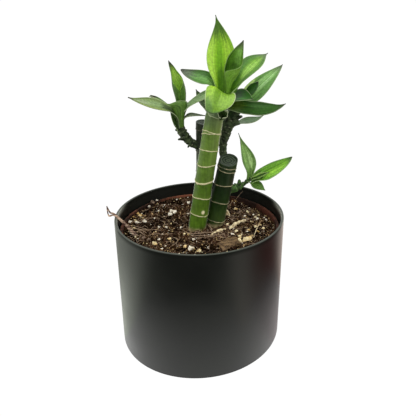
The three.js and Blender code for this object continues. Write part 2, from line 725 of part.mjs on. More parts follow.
function stickSolid(stick, swell = 0) {
  const from = vector(stick.from);
  const to = vector(stick.to);
  const bow = from.clone().lerp(to, 0.5).add(vector(STICK_BOW));
  const curve = new THREE.QuadraticBezierCurve3(from, bow, to);
  const lumpAt = (along) => STICK_LUMPS.size * Math.sin(STICK_LUMPS.count * along);
  const radiusAt = (along) => stick.radius * (1 + lumpAt(along)) + swell;
  return toSolid(roundBar(curve, radiusAt, 6, evenStations(4)));
}

// The strands start together in the soil and fray apart towards their dry ends.
function dryRootSolid(swell = 0) {
  const strands = DRY_ROOTS.strands.map((strand) => {
    const points = DRY_ROOTS.bundle.map((point) => vector(point));
    points[1].add(vector(strand.spread));
    points[2].add(vector(strand.spread).multiplyScalar(0.5));
    points[3].add(vector(strand.ends).multiplyScalar(0.4));
    points[4].add(vector(strand.ends));
    const curve = new THREE.CatmullRomCurve3(points);
    const radiusAt = (along) => strand.radius * (1 - DRY_ROOTS.taper * along) + swell;
    return toSolid(roundBar(curve, radiusAt, 5, evenStations(8)));
  });
  return wasm.Manifold.union(strands);
}

// Materials

function matte(colour, roughness) {
  return new THREE.MeshStandardMaterial({ color: colour, roughness, metalness: 0 });
}

const blackGlaze = matte('#1d1e1d', 0.38);
const terracottaPlastic = matte('#6f3a28', 0.6);
const pottingMix = matte('#3a2418', 0.95);
const limeCane = matte('#5f9a35', 0.45);
const darkCane = matte('#1f4a20', 0.5);
const barkyStem = matte('#2b3d24', 0.8);
const leafGreen = matte('#4f9a3a', 0.42);
const driedWood = matte('#8a6a45', 0.9);

const plant = new THREE.Group();

function addPiece(name, solid, material) {
  const mesh = new THREE.Mesh(toGeometry(solid), material);
  mesh.name = name;
  plant.add(mesh);
}

// The canes come first. Each later piece is cut clear of those already standing there.
const standing = [];

function addGrowth(name, solid, swollen, material) {
  addPiece(name, clearOf(solid, standing), material);
  standing.push(swollen.add(solid));
}

for (const [name, cane] of Object.entries(CANES)) {
  const skin = name === 'main_cane' ? limeCane : darkCane;
  addGrowth(name, caneSolid(cane), caneSolid(cane, GAP), skin);
}
for (const [name, shoot] of Object.entries(SHOOTS)) {
  let stem = shootSolid(shoot);
  if (name === 'small_shoot_stem') {
    stem = stem.add(budSolid());
  }
  addGrowth(name, stem, shootSolid(shoot, GAP), barkyStem);
}
for (const [name, leaf] of Object.entries(LEAVES)) {
  addGrowth(name, leafSolid(leaf), leafSolid(leaf, GAP), leafGreen);
}

addPiece('outer_pot', outerPot(), blackGlaze);
addPiece('nursery_pot', growerPot(), terracottaPlastic);

const loose = [
  ['bark_chip', barkSolid(), barkSolid(GAP)],
  ['dry_root_tuft', dryRootSolid(), dryRootSolid(GAP)],
];
for (const [name, stick] of Object.entries(STICKS)) {
  loose.push([name, stickSolid(stick), stickSolid(stick, GAP)]);
}
const bedded = loose.map(([, , swollen]) => swollen);
for (const [name, solid] of loose) {
  addPiece(name, solid, driedWood);
}
const holes = Object.values(CANES).map((cane) => caneSolid(cane, GAP));
const mix = soilGround().add(perliteGrains());
addPiece('soil', clearOf(mix, [...holes, ...bedded]), pottingMix);

export default plant;
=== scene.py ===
import bmesh
import bpy
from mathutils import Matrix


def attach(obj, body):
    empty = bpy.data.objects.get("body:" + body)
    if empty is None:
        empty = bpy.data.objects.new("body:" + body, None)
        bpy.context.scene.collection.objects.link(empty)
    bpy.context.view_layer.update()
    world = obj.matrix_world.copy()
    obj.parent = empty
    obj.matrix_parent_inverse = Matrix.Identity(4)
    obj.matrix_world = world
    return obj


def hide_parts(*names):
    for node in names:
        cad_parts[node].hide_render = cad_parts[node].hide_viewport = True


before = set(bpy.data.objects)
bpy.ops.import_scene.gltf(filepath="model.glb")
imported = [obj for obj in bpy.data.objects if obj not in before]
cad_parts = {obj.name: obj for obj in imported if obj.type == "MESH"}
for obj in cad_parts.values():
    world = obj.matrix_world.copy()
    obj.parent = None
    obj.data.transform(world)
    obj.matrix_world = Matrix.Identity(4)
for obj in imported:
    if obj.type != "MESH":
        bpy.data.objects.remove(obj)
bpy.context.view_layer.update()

POT_HEIGHT = 0.1084
POT_RIM_RADIUS = 0.0675
POT_FOOT_RADIUS = 0.0666
POT_WALL = 0.0022
POT_FLOOR = 0.003
POT_LIP_ROUNDING = 0.0009
POT_FOOT_ROUNDING = 0.0008


def pick(kind, test):
    """Leaves selected only those faces, edges or vertices that pass the test."""
    mesh = bpy.context.edit_object.data
    shape = bmesh.from_edit_mesh(mesh)
    bpy.ops.mesh.select_mode(type=kind)
    bpy.ops.mesh.select_all(action="DESELECT")
    parts = {"FACE": shape.faces, "EDGE": shape.edges, "VERT": shape.verts}[kind]
    for part in parts:
        part.select_set(test(part))
    bmesh.update_edit_mesh(mesh)


def linear(hex_colour):
    """The linear red, green, blue and alpha of an sRGB hex colour."""
    channels = [int(hex_colour[i:i + 2], 16) / 255 for i in (1, 3, 5)]
    return [c / 12.92 if c <= 0.04045 else ((c + 0.055) / 1.055) ** 2.4 for c in channels] + [1]


def add_node(tree, kind, inputs=None, **settings):
    """Adds a shader node. An input takes a number, a hex colour, or a node or output to link."""
    node = tree.nodes.new("ShaderNode" + kind)
    if kind == "Mix":
        node.data_type = "RGBA"
    for name, value in settings.items():
        setattr(node, name, value)
    for socket, value in (inputs or {}).items():
        if isinstance(value, bpy.types.Node):
            value = next(found for found in value.outputs if found.enabled)
        if isinstance(value, bpy.types.NodeSocket):
            tree.links.new(value, node.inputs[socket])
        else:
            node.inputs[socket].default_value = linear(value) if isinstance(value, str) else value
    return node


def new_material(name, places="Object"):
    """An empty material, its node tree, and the place of each point in space or unwrapped."""
    material = bpy.data.materials.new(name)
    material.use_nodes = True
    material.node_tree.nodes.clear()
    place = add_node(material.node_tree, "TexCoord").outputs[places]
    return material, material.node_tree, place


def laid_over(tree, colour, over, value, start, end, most=1, way="LINEAR"):
    """A colour with another laid over it, more and more as a value goes from start to end."""
    share = add_node(tree, "MapRange", {"Value": value, "From Min": start, "From Max": end,
                                        "To Max": most}, interpolation_type=way)
    return add_node(tree, "Mix", {0: share, 6: colour, 7: over})


def finish_piece(piece, material, slot, *replaced):
    """Gives a finished piece its material, and lets it ride on the one fixed body. The slot is not
    used.
    """
    piece.data.materials.clear()
    piece.data.materials.append(material)
    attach(piece, "root")
    if replaced:
        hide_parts(*replaced)


bpy.ops.mesh.primitive_cylinder_add(
    vertices=192, radius=POT_FOOT_RADIUS, depth=POT_HEIGHT, location=(0, 0, POT_HEIGHT / 2))
outer_pot = bpy.context.object
outer_pot.name = "black_cover_pot"
bpy.ops.object.transform_apply(location=True, rotation=True, scale=True)
bpy.ops.object.mode_set(mode="EDIT")
pick("FACE", lambda face: face.normal.z > 0.9)
flare = POT_RIM_RADIUS / POT_FOOT_RADIUS
bpy.ops.transform.resize(value=(flare, flare, 1))
bpy.ops.mesh.inset(thickness=POT_WALL)
bpy.ops.mesh.extrude_region_move(
    TRANSFORM_OT_translate={"value": (0, 0, POT_FLOOR - POT_HEIGHT)})
bpy.ops.transform.resize(value=(1 / flare, 1 / flare, 1))
pick("EDGE", lambda edge: all(vert.co.z > POT_HEIGHT - 1e-5 for vert in edge.verts)
     and abs(edge.verts[0].co.xy.length - edge.verts[1].co.xy.length) < 1e-5)
bpy.ops.mesh.bevel(offset=POT_LIP_ROUNDING, segments=5, profile=0.5)
pick("EDGE", lambda edge: all(vert.co.z < 1e-5 for vert in edge.verts)
     and min(vert.co.xy.length for vert in edge.verts) > POT_FOOT_RADIUS - 1e-4)
bpy.ops.mesh.bevel(offset=POT_FOOT_ROUNDING, segments=3, profile=0.5)
bpy.ops.mesh.select_all(action="SELECT")
bpy.ops.mesh.normals_make_consistent(inside=False)
bpy.ops.object.mode_set(mode="OBJECT")
bpy.ops.object.shade_smooth_by_angle(angle=0.6)

# Satin polypropylene: near black, with a fine spark-eroded grain that blurs its reflections and
# a faint cloudiness where hands have polished or dusted it.
satin_black, tree, place = new_material("satin_black_polypropylene")
where = add_node(tree, "SeparateXYZ", {0: place}).outputs
clouds = add_node(tree, "TexNoise", {"Vector": place, "Scale": 28, "Detail": 3})
colour = laid_over(tree, "#121410", "#1a1c17", clouds, 0.3, 0.75)
# A pale painted highlight lies on the inside of the wall, just under the lip, at both sides of the
# front.
level = add_node(tree, "CombineXYZ", {0: where["X"], 1: where["Y"]})
reach = add_node(tree, "VectorMath", {0: level}, operation="LENGTH")
aside = add_node(tree, "Math", {0: where["X"]}, operation="ABSOLUTE")
painted_lip_highlight = 1.0
for value, start, end, way in ((reach, 0.0677, 0.067, "LINEAR"),
                               (where["Z"], POT_HEIGHT - 0.0055, POT_HEIGHT, "SMOOTHSTEP"),
                               (where["Y"], 0.03, 0.008, "SMOOTHSTEP"),
                               (aside, 0.0605, 0.065, "LINEAR")):
    share = add_node(tree, "MapRange", {"Value": value, "From Min": start, "From Max": end},
                     interpolation_type=way)
    painted_lip_highlight = add_node(tree, "Math", {0: painted_lip_highlight, 1: share}, operation="MULTIPLY")
colour = add_node(tree, "Mix", {0: painted_lip_highlight, 6: colour, 7: "#a9a99c"})
# The top of the lip carries a thin pale painted highlight, and it is matt.
colour = laid_over(tree, colour, "#4f534b", where["Z"], POT_HEIGHT - 0.0005, POT_HEIGHT)
shine = add_node(tree, "MapRange", {"Value": where["Z"], "From Min": POT_HEIGHT - 0.004,
                                    "From Max": POT_HEIGHT - 0.0015, "To Min": 0.32,
                                    "To Max": 0.1})
polish = add_node(tree, "MapRange", {"Value": clouds, "From Min": 0.3, "From Max": 0.7,
                                     "To Min": 0.3, "To Max": 0.38})
grain = add_node(tree, "TexNoise", {"Vector": place, "Scale": 1400, "Detail": 1})
relief = add_node(tree, "Bump", {"Height": grain, "Strength": 0.12, "Distance": 0.0001})
plastic = add_node(tree, "BsdfPrincipled", {"Base Color": colour, "Roughness": polish, "IOR": 1.49,
                                            "Specular IOR Level": shine, "Normal": relief})
add_node(tree, "OutputMaterial", {0: plastic})
finish_piece(outer_pot, satin_black, "black_pot", "outer_pot")

# Nursery pot
# The grower's thin pot of terracotta-coloured polypropylene, vacuum formed with a stepped lip
# and round drain holes. It hangs inside the cover pot, and only its edge shows.
terracotta, tree, place = new_material("terracotta_coloured_polypropylene")
where = add_node(tree, "SeparateXYZ", {0: place}).outputs
stains = add_node(tree, "TexNoise", {"Vector": place, "Scale": 45, "Detail": 6, "Roughness": 0.7})
colour = laid_over(tree, "#86503a", "#603526", where["X"], -0.01, 0.035, way="SMOOTHSTEP")
colour = laid_over(tree, colour, "#2b1a12", stains, 0.36, 0.53)
# The outermost half millimetre of the lip carries a pale painted highlight.
level = add_node(tree, "CombineXYZ", {0: where["X"], 1: where["Y"]})
reach = add_node(tree, "VectorMath", {0: level}, operation="LENGTH")
colour = laid_over(tree, colour, "#d3a283", reach, 0.0634, 0.064, 0.95)
relief = add_node(tree, "Bump", {"Height": stains, "Strength": 0.3, "Distance": 0.0002})
plastic = add_node(tree, "BsdfPrincipled", {"Base Color": colour, "Roughness": 0.6, "IOR": 1.49,
                                            "Specular IOR Level": 0.15, "Normal": relief})
add_node(tree, "OutputMaterial", {0: plastic})
nursery_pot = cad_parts["nursery_pot"]
nursery_pot.data.materials.clear()
nursery_pot.data.materials.append(terracotta)

# Potting mix
# Peat and composted bark, pressed round the canes by hand: a lumpy dark surface with crumbs,
# tan fibres and white perlite, worked from one round sheet that is folded down into the pot.
import math
import random
from mathutils import Matrix, Vector, noise

SOIL_TOP = 0.0969
SOIL_FOOT = 0.0046
SOIL_MOUND = 0.0021
SOIL_RELIEF = 0.00055
SOIL_EDGE_RADIUS = 0.0612
SOIL_FOOT_RADIUS = 0.0457
# The shares of the sheet at which the soil's top and its side end.
SOIL_TOP_SHARE = 0.84
SOIL_SIDE_SHARE = 0.92
# The middle of the low heap behind the dark cane, and of the crumbs that lie on it.
HEAP_X, HEAP_Y = 0.027, 0.036
CLODS_X, CLODS_Y = 0.0265, 0.033
MOUND_RADIUS = 0.0637
HEAP_HEIGHT = 0.0036
HEAP_RADIUS = 0.011
# The edge is washed out to this depth, towards this turn in radians.
WASHED_DEPTH = 0.003
WASHED_TOWARDS = 0.62
# Each pattern is two waves that cross: its share of the relief, then for each wave the radians a
# metre along x and along y, and where it starts.
HUMMOCKS = [
    (1.0, (310, 120, 0), (-90, 270, 1.57)),
    (0.6, (630, -410, 1.3), (330, 520, 0.4)),
]


def smoothstep(low, high, value):
    """0 up to the low value, 1 from the high one on, and a soft rise between."""
    share = min(max((value - low) / (high - low), 0), 1)
    return share * share * (3 - 2 * share)


def soil_height(x, y):
    """The soil's height: a low mound with soft hummocks, a heap of roots and a washed-out edge."""
    reach = math.hypot(x, y)
    mound = SOIL_MOUND * (1 - smoothstep(0, MOUND_RADIUS, reach))
    from_heap = math.hypot(x - HEAP_X, y - HEAP_Y)
    mound += HEAP_HEIGHT * (1 - smoothstep(0, HEAP_RADIUS, from_heap))
    washed = 1 - smoothstep(0.2, 0.75, abs(math.atan2(y, x) - WASHED_TOWARDS))
    mound -= WASHED_DEPTH * washed * smoothstep(0.047, 0.058, reach)
    hummocks = 0
    for share, along, across in HUMMOCKS:
        hummocks += (share * math.sin(along[0] * x + along[1] * y + along[2])
                     * math.sin(across[0] * x + across[1] * y + across[2]))
    return SOIL_TOP + mound + SOIL_RELIEF * hummocks


def crumbly_height(x, y):
    """The same height with clods, crumbs and grit on it."""
    spot = Vector((x, y, 0))
    clods = noise.fractal(spot * 130, 1, 2, 3) * 0.0017
    crumbs = (0.5 - noise.voronoi(spot * 360)[0][0]) * 0.0016
    grit = noise.fractal(spot * 1300, 0.7, 2, 2) * 0.0005
    calm = smoothstep(SOIL_EDGE_RADIUS, SOIL_EDGE_RADIUS - 0.004, math.hypot(x, y))
    heap = 0.0024 * (1 - smoothstep(0.002, 0.009, math.hypot(x - CLODS_X, y - CLODS_Y)))
    return soil_height(x, y) + heap + (clods + crumbs + grit) * calm


def lay_grid(name, columns, rows, place_point):
    """A sheet of squares whose points are moved to place_point(u, v), u and v from 0 to 1."""
    bpy.ops.mesh.primitive_grid_add(x_subdivisions=columns, y_subdivisions=rows, size=1)
    sheet = bpy.context.object
    sheet.name = name
    for point in sheet.data.vertices:
        point.co = place_point(point.co.x + 0.5, point.co.y + 0.5)
    return sheet


def close_seams(piece):
    """Joins points that now lie on each other, and turns all faces outwards."""
    bpy.ops.object.select_all(action="DESELECT")
    piece.select_set(True)
    bpy.context.view_layer.objects.active = piece
    bpy.ops.object.mode_set(mode="EDIT")
    bpy.ops.mesh.select_all(action="SELECT")
    bpy.ops.mesh.remove_doubles(threshold=1e-6)
    bpy.ops.mesh.normals_make_consistent(inside=False)
    bpy.ops.object.mode_set(mode="OBJECT")


def soil_point(u, v):
    """A point of the soil: its top from the middle to the edge, then its side and its foot."""
    angle = math.tau * u
    if v <= SOIL_TOP_SHARE:
        radius = SOIL_EDGE_RADIUS * (v / SOIL_TOP_SHARE) ** 0.85
        x, y = radius * math.cos(angle), radius * math.sin(angle)
        return Vector((x, y, crumbly_height(x, y)))
    if v <= SOIL_SIDE_SHARE:
        share = (v - SOIL_TOP_SHARE) / (SOIL_SIDE_SHARE - SOIL_TOP_SHARE)
        radius = SOIL_EDGE_RADIUS + (SOIL_FOOT_RADIUS - SOIL_EDGE_RADIUS) * share
        height = SOIL_TOP + (SOIL_FOOT - SOIL_TOP) * share
        return Vector((radius * math.cos(angle), radius * math.sin(angle), height))
    radius = SOIL_FOOT_RADIUS * (1 - (v - SOIL_SIDE_SHARE) / (1 - SOIL_SIDE_SHARE))
    return Vector((radius * math.cos(angle), radius * math.sin(angle), SOIL_FOOT))


potting_mix = lay_grid("potting_mix", 320, 130, soil_point)
close_seams(potting_mix)
bpy.ops.object.shade_smooth()


def meshed(name, points, faces):
    """A new piece with these points and faces."""
    mesh = bpy.data.meshes.new(name)
    mesh.from_pydata(points, [], faces)
    piece = bpy.data.objects.new(name, mesh)
    bpy.context.scene.collection.objects.link(piece)
    return piece


def copies_of(name, shape, places):
    """One mesh of many copies of a small shape. Each place is a 4 x 4 matrix."""
    points = [vert.co.copy() for vert in shape.data.vertices]
    faces = [tuple(face.vertices) for face in shape.data.polygons]
    all_points, all_faces = [], []
    for place_matrix in places:
        start = len(all_points)
        all_points += [place_matrix @ point for point in points]
        all_faces += [tuple(start + corner for corner in face) for face in faces]
    return meshed(name, all_points, all_faces)


def lump(detail, roughness, seed):
    """A small uneven stone about 1 m across, to be copied at its real size."""
    bpy.ops.mesh.primitive_ico_sphere_add(subdivisions=detail, radius=0.5)
    stone = bpy.context.object
    for vert in stone.data.vertices:
        vert.co *= 1 + roughness * noise.noise(vert.co * 2.3 + Vector((seed, 0, 0)))
    return stone


def scattered(draw, x, y, size, sink, squash=0.7):
    """A place for a lump that lies turned at random, partly sunk in the soil."""
    turn = Matrix.Rotation(draw.uniform(0, math.tau), 4, "Z")
    tilt = Matrix.Rotation(draw.uniform(-0.6, 0.6), 4, "X")
    scale = Matrix.Diagonal((size, size * draw.uniform(0.6, 0.95), size * squash, 1))
    lift = Matrix.Translation((x, y, crumbly_height(x, y) + size * (0.5 * squash - sink)))
    return lift @ turn @ tilt @ scale


CRUMBS_STREWN = 4200
CRUMBS_ON_HEAP = 170
draw = random.Random(41)
crumb = lump(1, 0.9, 3)
crumb_places = []
for _ in range(CRUMBS_STREWN):
    angle, reach = draw.uniform(0, math.tau), 0.0605 * math.sqrt(draw.random())
    size = 0.0006 + 0.0024 * draw.random() ** 3
    crumb_places.append(scattered(draw, reach * math.cos(angle), reach * math.sin(angle),
                                  size, 0.25 * size / 0.002 + 0.1))
for _ in range(CRUMBS_ON_HEAP):
    crumb_places.append(scattered(draw, draw.gauss(0.0275, 0.005), draw.gauss(0.033, 0.006),
                                  draw.uniform(0.0012, 0.0027), 0.2))
crumbs = copies_of("potting_mix_crumbs", crumb, crumb_places)
bpy.data.objects.remove(crumb)


def shaded(tree, colour, value, start, end, darkest, lightest):
    """A colour made darker or lighter, as a value goes from start to end."""
    shade = add_node(tree, "MapRange", {"Value": value, "From Min": start, "From Max": end,
                                        "To Min": darkest, "To Max": lightest})
    return add_node(tree, "Mix", {0: 1.0, 6: colour, 7: shade}, blend_type="MULTIPLY")


# Peat and bark: matt, nearly black where damp and dark brown where dry. It gives no highlight.
peat, tree, place = new_material("peat_and_bark_mix")
patches = add_node(tree, "TexNoise", {"Vector": place, "Scale": 130, "Detail": 5})
specks = add_node(tree, "TexVoronoi", {"Vector": place, "Scale": 1000})
lightness = add_node(tree, "SeparateColor", {0: specks.outputs["Color"]})
damp = add_node(tree, "TexNoise", {"Vector": place, "Scale": 55, "Detail": 2})
colour = laid_over(tree, "#0a0603", "#34230f", patches, 0.4, 0.66)
colour = laid_over(tree, colour, "#7d6246", lightness, 0.72, 1.0, 0.8)
colour = shaded(tree, colour, damp, 0.42, 0.58, 0.3, 1.15)
relief = add_node(tree, "Bump", {"Height": specks, "Strength": 0.6, "Distance": 0.0004})
matt = add_node(tree, "BsdfPrincipled", {"Base Color": colour, "Roughness": 0.95, "IOR": 1.4,
                                         "Specular IOR Level": 0.03, "Normal": relief})
add_node(tree, "OutputMaterial", {0: matt})
finish_piece(potting_mix, peat, "potting_mix", "soil")

# Bark crumbs: each has one colour from black-brown to reddish brown, and a few are dry and tan.
bark_crumbs, tree, place = new_material("composted_bark_crumbs")
cells = add_node(tree, "TexVoronoi", {"Vector": place, "Scale": 620})
chance = add_node(tree, "SeparateColor", {0: cells.outputs["Color"]}).outputs
damp = add_node(tree, "TexNoise", {"Vector": place, "Scale": 55, "Detail": 2})
colour = add_node(tree, "Mix", {0: chance[1], 6: "#0e0905", 7: "#4a2f1e"})
colour = laid_over(tree, colour, "#b5976c", chance[0], 0.86, 0.95)
colour = shaded(tree, colour, damp, 0.42, 0.58, 0.35, 1.2)
matt = add_node(tree, "BsdfPrincipled", {"Base Color": colour, "Roughness": 0.9, "IOR": 1.4,
                                         "Specular IOR Level": 0.03})
add_node(tree, "OutputMaterial", {0: matt})
finish_piece(crumbs, bark_crumbs, "potting_mix")

# Perlite and chips
# Puffed white volcanic glass and pale wood chips, mixed into the soil by the grower to keep it
# open. The largest are placed one by one, and the small ones are strewn.

# Each grain is placed by x, y and size in millimetres.
GRAINS = {
    "perlite_grains": [
        (-39, 51, 2.2), (-45, 39, 2.0), (-36, 29, 1.6), (-58, 10, 2.2), (-52, 8, 2.8),
        (-46, 7, 2.6), (-25, 25, 2.6), (-22, 19, 3.2), (-26, 17, 2.8), (-38, 11, 1.2),
        (-34, -1, 1.7), (-28, -4, 1.7), (-30, -16, 1.3), (-16, -6, 1.6), (-54, -11, 1.9),
        (-48, -29, 1.6), (-32, -24, 1.8), (-29, -36, 1.5), (-6, -28, 1.8), (-8, -40, 3.6),
        (-16, -45, 2.0), (-11, 42, 2.4), (36, 44, 1.6), (43, 36, 1.8), (45, 18, 1.8),
        (54, 15, 1.8), (47, 7, 2.6), (54, 4, 1.6), (24, -8, 2.8), (24, -18, 1.6),
        (25, -19, 1.2), (34, -29, 2.6), (-11, 20, 2.0), (50, 8, 1.4), (37, 13, 1.8),
    ],
    "pale_wood_chips": [
        (-51, 18, 2.4), (-13, -17, 1.6), (-10, -17, 2.2), (-53, -2, 2.4), (-35, -32, 3.2),
        (-24, -26, 2.4), (-6, -38, 1.8), (-2, -43, 3.0), (30, 26, 2.8), (48, -2, 2.4),
        (21, -5, 2.0), (28, -14, 2.4), (30, -21, 2.2), (40, -21, 1.8), (29, -30, 3.8),
        (34, -29, 4.6), (37, -27, 4.2), (22, 17, 2.4), (24, -28, 2.0), (-53, 24, 1.8),
        (44, -6, 2.6), (50, -10, 2.2), (41, 2, 2.0), (38, -12, 2.4), (46, 12, 2.0),
        (33, 4, 2.0), (40, 22, 2.4), (50, 20, 1.8), (45, -14, 2.2), (-12, -38, 2.2),
        (-50, 21, 2.2), (-56, 19, 1.6), (-54, 13, 2.0), (20.5, 19, 2.2), (21.6, 16, 2.0),
        (30, -25, 2.0), (16, -24, 1.8),
    ],
    "straw_flecks": [],
    "brown_pebbles": [
        (-43, 46, 3.6), (-51, -14, 3.0), (-44, -20, 2.4), (-40, -22, 1.8), (-34, 40, 2.2),
        (38, 6, 2.0), (33, 20, 2.4), (42, 24, 2.0),
    ],
}
FLECKS_STREWN = 460
GRAINS_STREWN = 200
draw = random.Random(67)
pale_lump = lump(2, 0.8, 9)
pale_pieces = {}
for name, grains in GRAINS.items():
    places = []
    for x, y, size in grains:
        places.append(scattered(draw, x * 0.001, y * 0.001, size * 0.00125, 0.12))
    for _ in range(FLECKS_STREWN if name == "straw_flecks" else GRAINS_STREWN):
        angle, reach = draw.uniform(0, math.tau), 0.060 * math.sqrt(draw.random())
        x, y = reach * math.cos(angle), reach * math.sin(angle)
        size = 0.0005 + 0.0009 * draw.random() ** 2
        damp_part = x < -0.004 and y > -0.024 and reach < 0.05
        if not damp_part or draw.random() < 0.35:
            places.append(scattered(draw, x, y, size, 0.2 if name != "straw_flecks" else 0))
    pale_pieces[name] = copies_of(name, pale_lump, places)
bpy.data.objects.remove(pale_lump)


def dry_skin(name, scale, detail, tones, spread, relief, roughness, ior, turn=0, harsh=0.5):
    """Matt dry stuff in two mottled tones. The second comes in over the spread of the mottling,
    and relief is the strength and the depth in metres of its unevenness."""
    material, tree, place = new_material(name)
    stretch = add_node(tree, "Mapping", {"Vector": place, "Rotation": (0, 0, turn),
                                         "Scale": scale})
    mottle = add_node(tree, "TexNoise", {"Vector": stretch, "Scale": 1, "Detail": detail,
                                         "Roughness": harsh})
    colour = laid_over(tree, *tones, mottle, *spread)
    uneven = add_node(tree, "Bump", {"Height": mottle, "Strength": relief[0],
                                     "Distance": relief[1]})
    matt = add_node(tree, "BsdfPrincipled", {"Base Color": colour, "Roughness": roughness,
                                             "IOR": ior, "Normal": uneven})
    add_node(tree, "OutputMaterial", {0: matt})
    return material


# Perlite is matt white foam glass, pitted all over and stained by the peat. The chips are dry
# softwood, cream to straw yellow. The flecks are dry stalk and the pebbles baked clay.
for name, material, slot, scale, detail, tones, spread, relief, roughness in (
        ("perlite_grains", "perlite", "potting_mix", 900, 2, ("#fbf3df", "#c9b78f"),
         (0.45, 0.75), (0.5, 0.0003), 0.9),
        ("pale_wood_chips", "dry_softwood_chip", "dry_wood", 120, 2, ("#f5e8b8", "#cfa75e"),
         (0.4, 0.6), (0, 0.0003), 0.85),
        ("straw_flecks", "straw_flecks_skin", "dry_wood", 420, 3, ("#d8bd80", "#7a5c36"),
         (0.4, 0.62), (0, 0.0003), 0.85),
        ("brown_pebbles", "brown_pebbles_skin", "dry_wood", 420, 3, ("#8a7560", "#54392c"),
         (0.4, 0.62), (0, 0.0003), 0.85)):
    skin = dry_skin(material, [scale] * 3, detail, tones, spread, relief, roughness, 1.5)
    finish_piece(pale_pieces[name], skin, slot)

# Fibres
# Coir and fine dead roots lie tangled on the soil: thin brown and tan threads, a few millimetres
# to two centimetres long, half buried where they dip.


def strands(name, paths, sides):
    """One mesh of thin round threads. A path is a list of (point, radius)."""
    points, faces = [], []
    for path in paths:
        start = len(points)
        for row, (point, radius) in enumerate(path):
            before = path[max(row - 1, 0)][0]
            after = path[min(row + 1, len(path) - 1)][0]
            tangent = (after - before).normalized()
            side = tangent.cross(Vector((0.31, 0.27, 0.91))).normalized()
            front = tangent.cross(side)
            for corner in range(sides):
                turn = math.tau * corner / sides
                points.append(point + (side * math.cos(turn) + front * math.sin(turn)) * radius)
        for row in range(len(path) - 1):
            for corner in range(sides):
                a = start + row * sides + corner
                b = start + row * sides + (corner + 1) % sides
                faces.append((a, b, b + sides, a + sides))
        last = start + (len(path) - 1) * sides
        faces.append(tuple(start + corner for corner in reversed(range(sides))))
        faces.append(tuple(last + corner for corner in range(sides)))
    piece = meshed(name, points, faces)
    close_seams(piece)
    bpy.ops.object.shade_smooth()
    return piece


def lying_thread(draw, x, y, heading, length, radius, curl):
    """A thread that wanders over the soil from a point."""
    path, steps = [], 7
    for step in range(steps):
        hump = math.sin(math.pi * step / (steps - 1)) * length * 0.06
        lift = crumbly_height(x, y) + radius * 0.6 + hump
        taper = radius * (1 - 0.5 * abs(2 * step / (steps - 1) - 1))
        path.append((Vector((x, y, lift)), taper))
        heading += draw.uniform(-curl, curl)
        x += math.cos(heading) * length / steps
        y += math.sin(heading) * length / steps
    return path


# Most threads are strewn, some lie on the heap, and the rest in front of the canes.
STREWN = 1100
ON_HEAP = 250
BEFORE_CANES = 150
draw = random.Random(5)
dark_threads, pale_threads = [], []
for number in range(STREWN + ON_HEAP + BEFORE_CANES):
    if number < STREWN:
        angle, reach = draw.uniform(0, math.tau), 0.058 * math.sqrt(draw.random())
        x, y = reach * math.cos(angle), reach * math.sin(angle)
    elif number < STREWN + ON_HEAP:
        x, y = draw.gauss(0.031, 0.009), draw.gauss(0.032, 0.011)
    else:
        x, y = draw.gauss(0.006, 0.013), draw.gauss(-0.018, 0.007)
    thread = lying_thread(draw, x, y, draw.uniform(0, math.tau), draw.uniform(0.002, 0.009),
                          draw.uniform(0.0001, 0.00024), 0.55)
    if max(point.xy.length for point, _ in thread) < SOIL_EDGE_RADIUS:
        (pale_threads if draw.random() < 0.42 else dark_threads).append(thread)


def curve_shares(t):
    """How much a smooth curve's start, its slope there, its end and the slope there count at t."""
    return (2 * t ** 3 - 3 * t ** 2 + 1, t ** 3 - 2 * t ** 2 + t,
            3 * t ** 2 - 2 * t ** 3, t ** 3 - t ** 2)


def smooth_path(points, radius, taper=0.6, steps=5):
    """A path for a strand through points in millimetres, thinner towards its ends."""
    knots = [Vector(point) * 0.001 for point in points]
    path = []
    for number in range(len(knots) - 1):
        before = knots[max(number - 1, 0)]
        start, end = knots[number], knots[number + 1]
        after = knots[min(number + 2, len(knots) - 1)]
        for step in range(steps + (number == len(knots) - 2)):
            t = step / steps
            at_start, leaving, at_end, arriving = curve_shares(t)
            place_on = (start * at_start + end * at_end + (end - before) * (0.5 * leaving)
                        + (after - start) * (0.5 * arriving))
            middle = abs(2 * (number + t) / (len(knots) - 1) - 1)
            path.append((place_on, radius * 0.001 * (1 - taper * middle ** 2)))
    return path


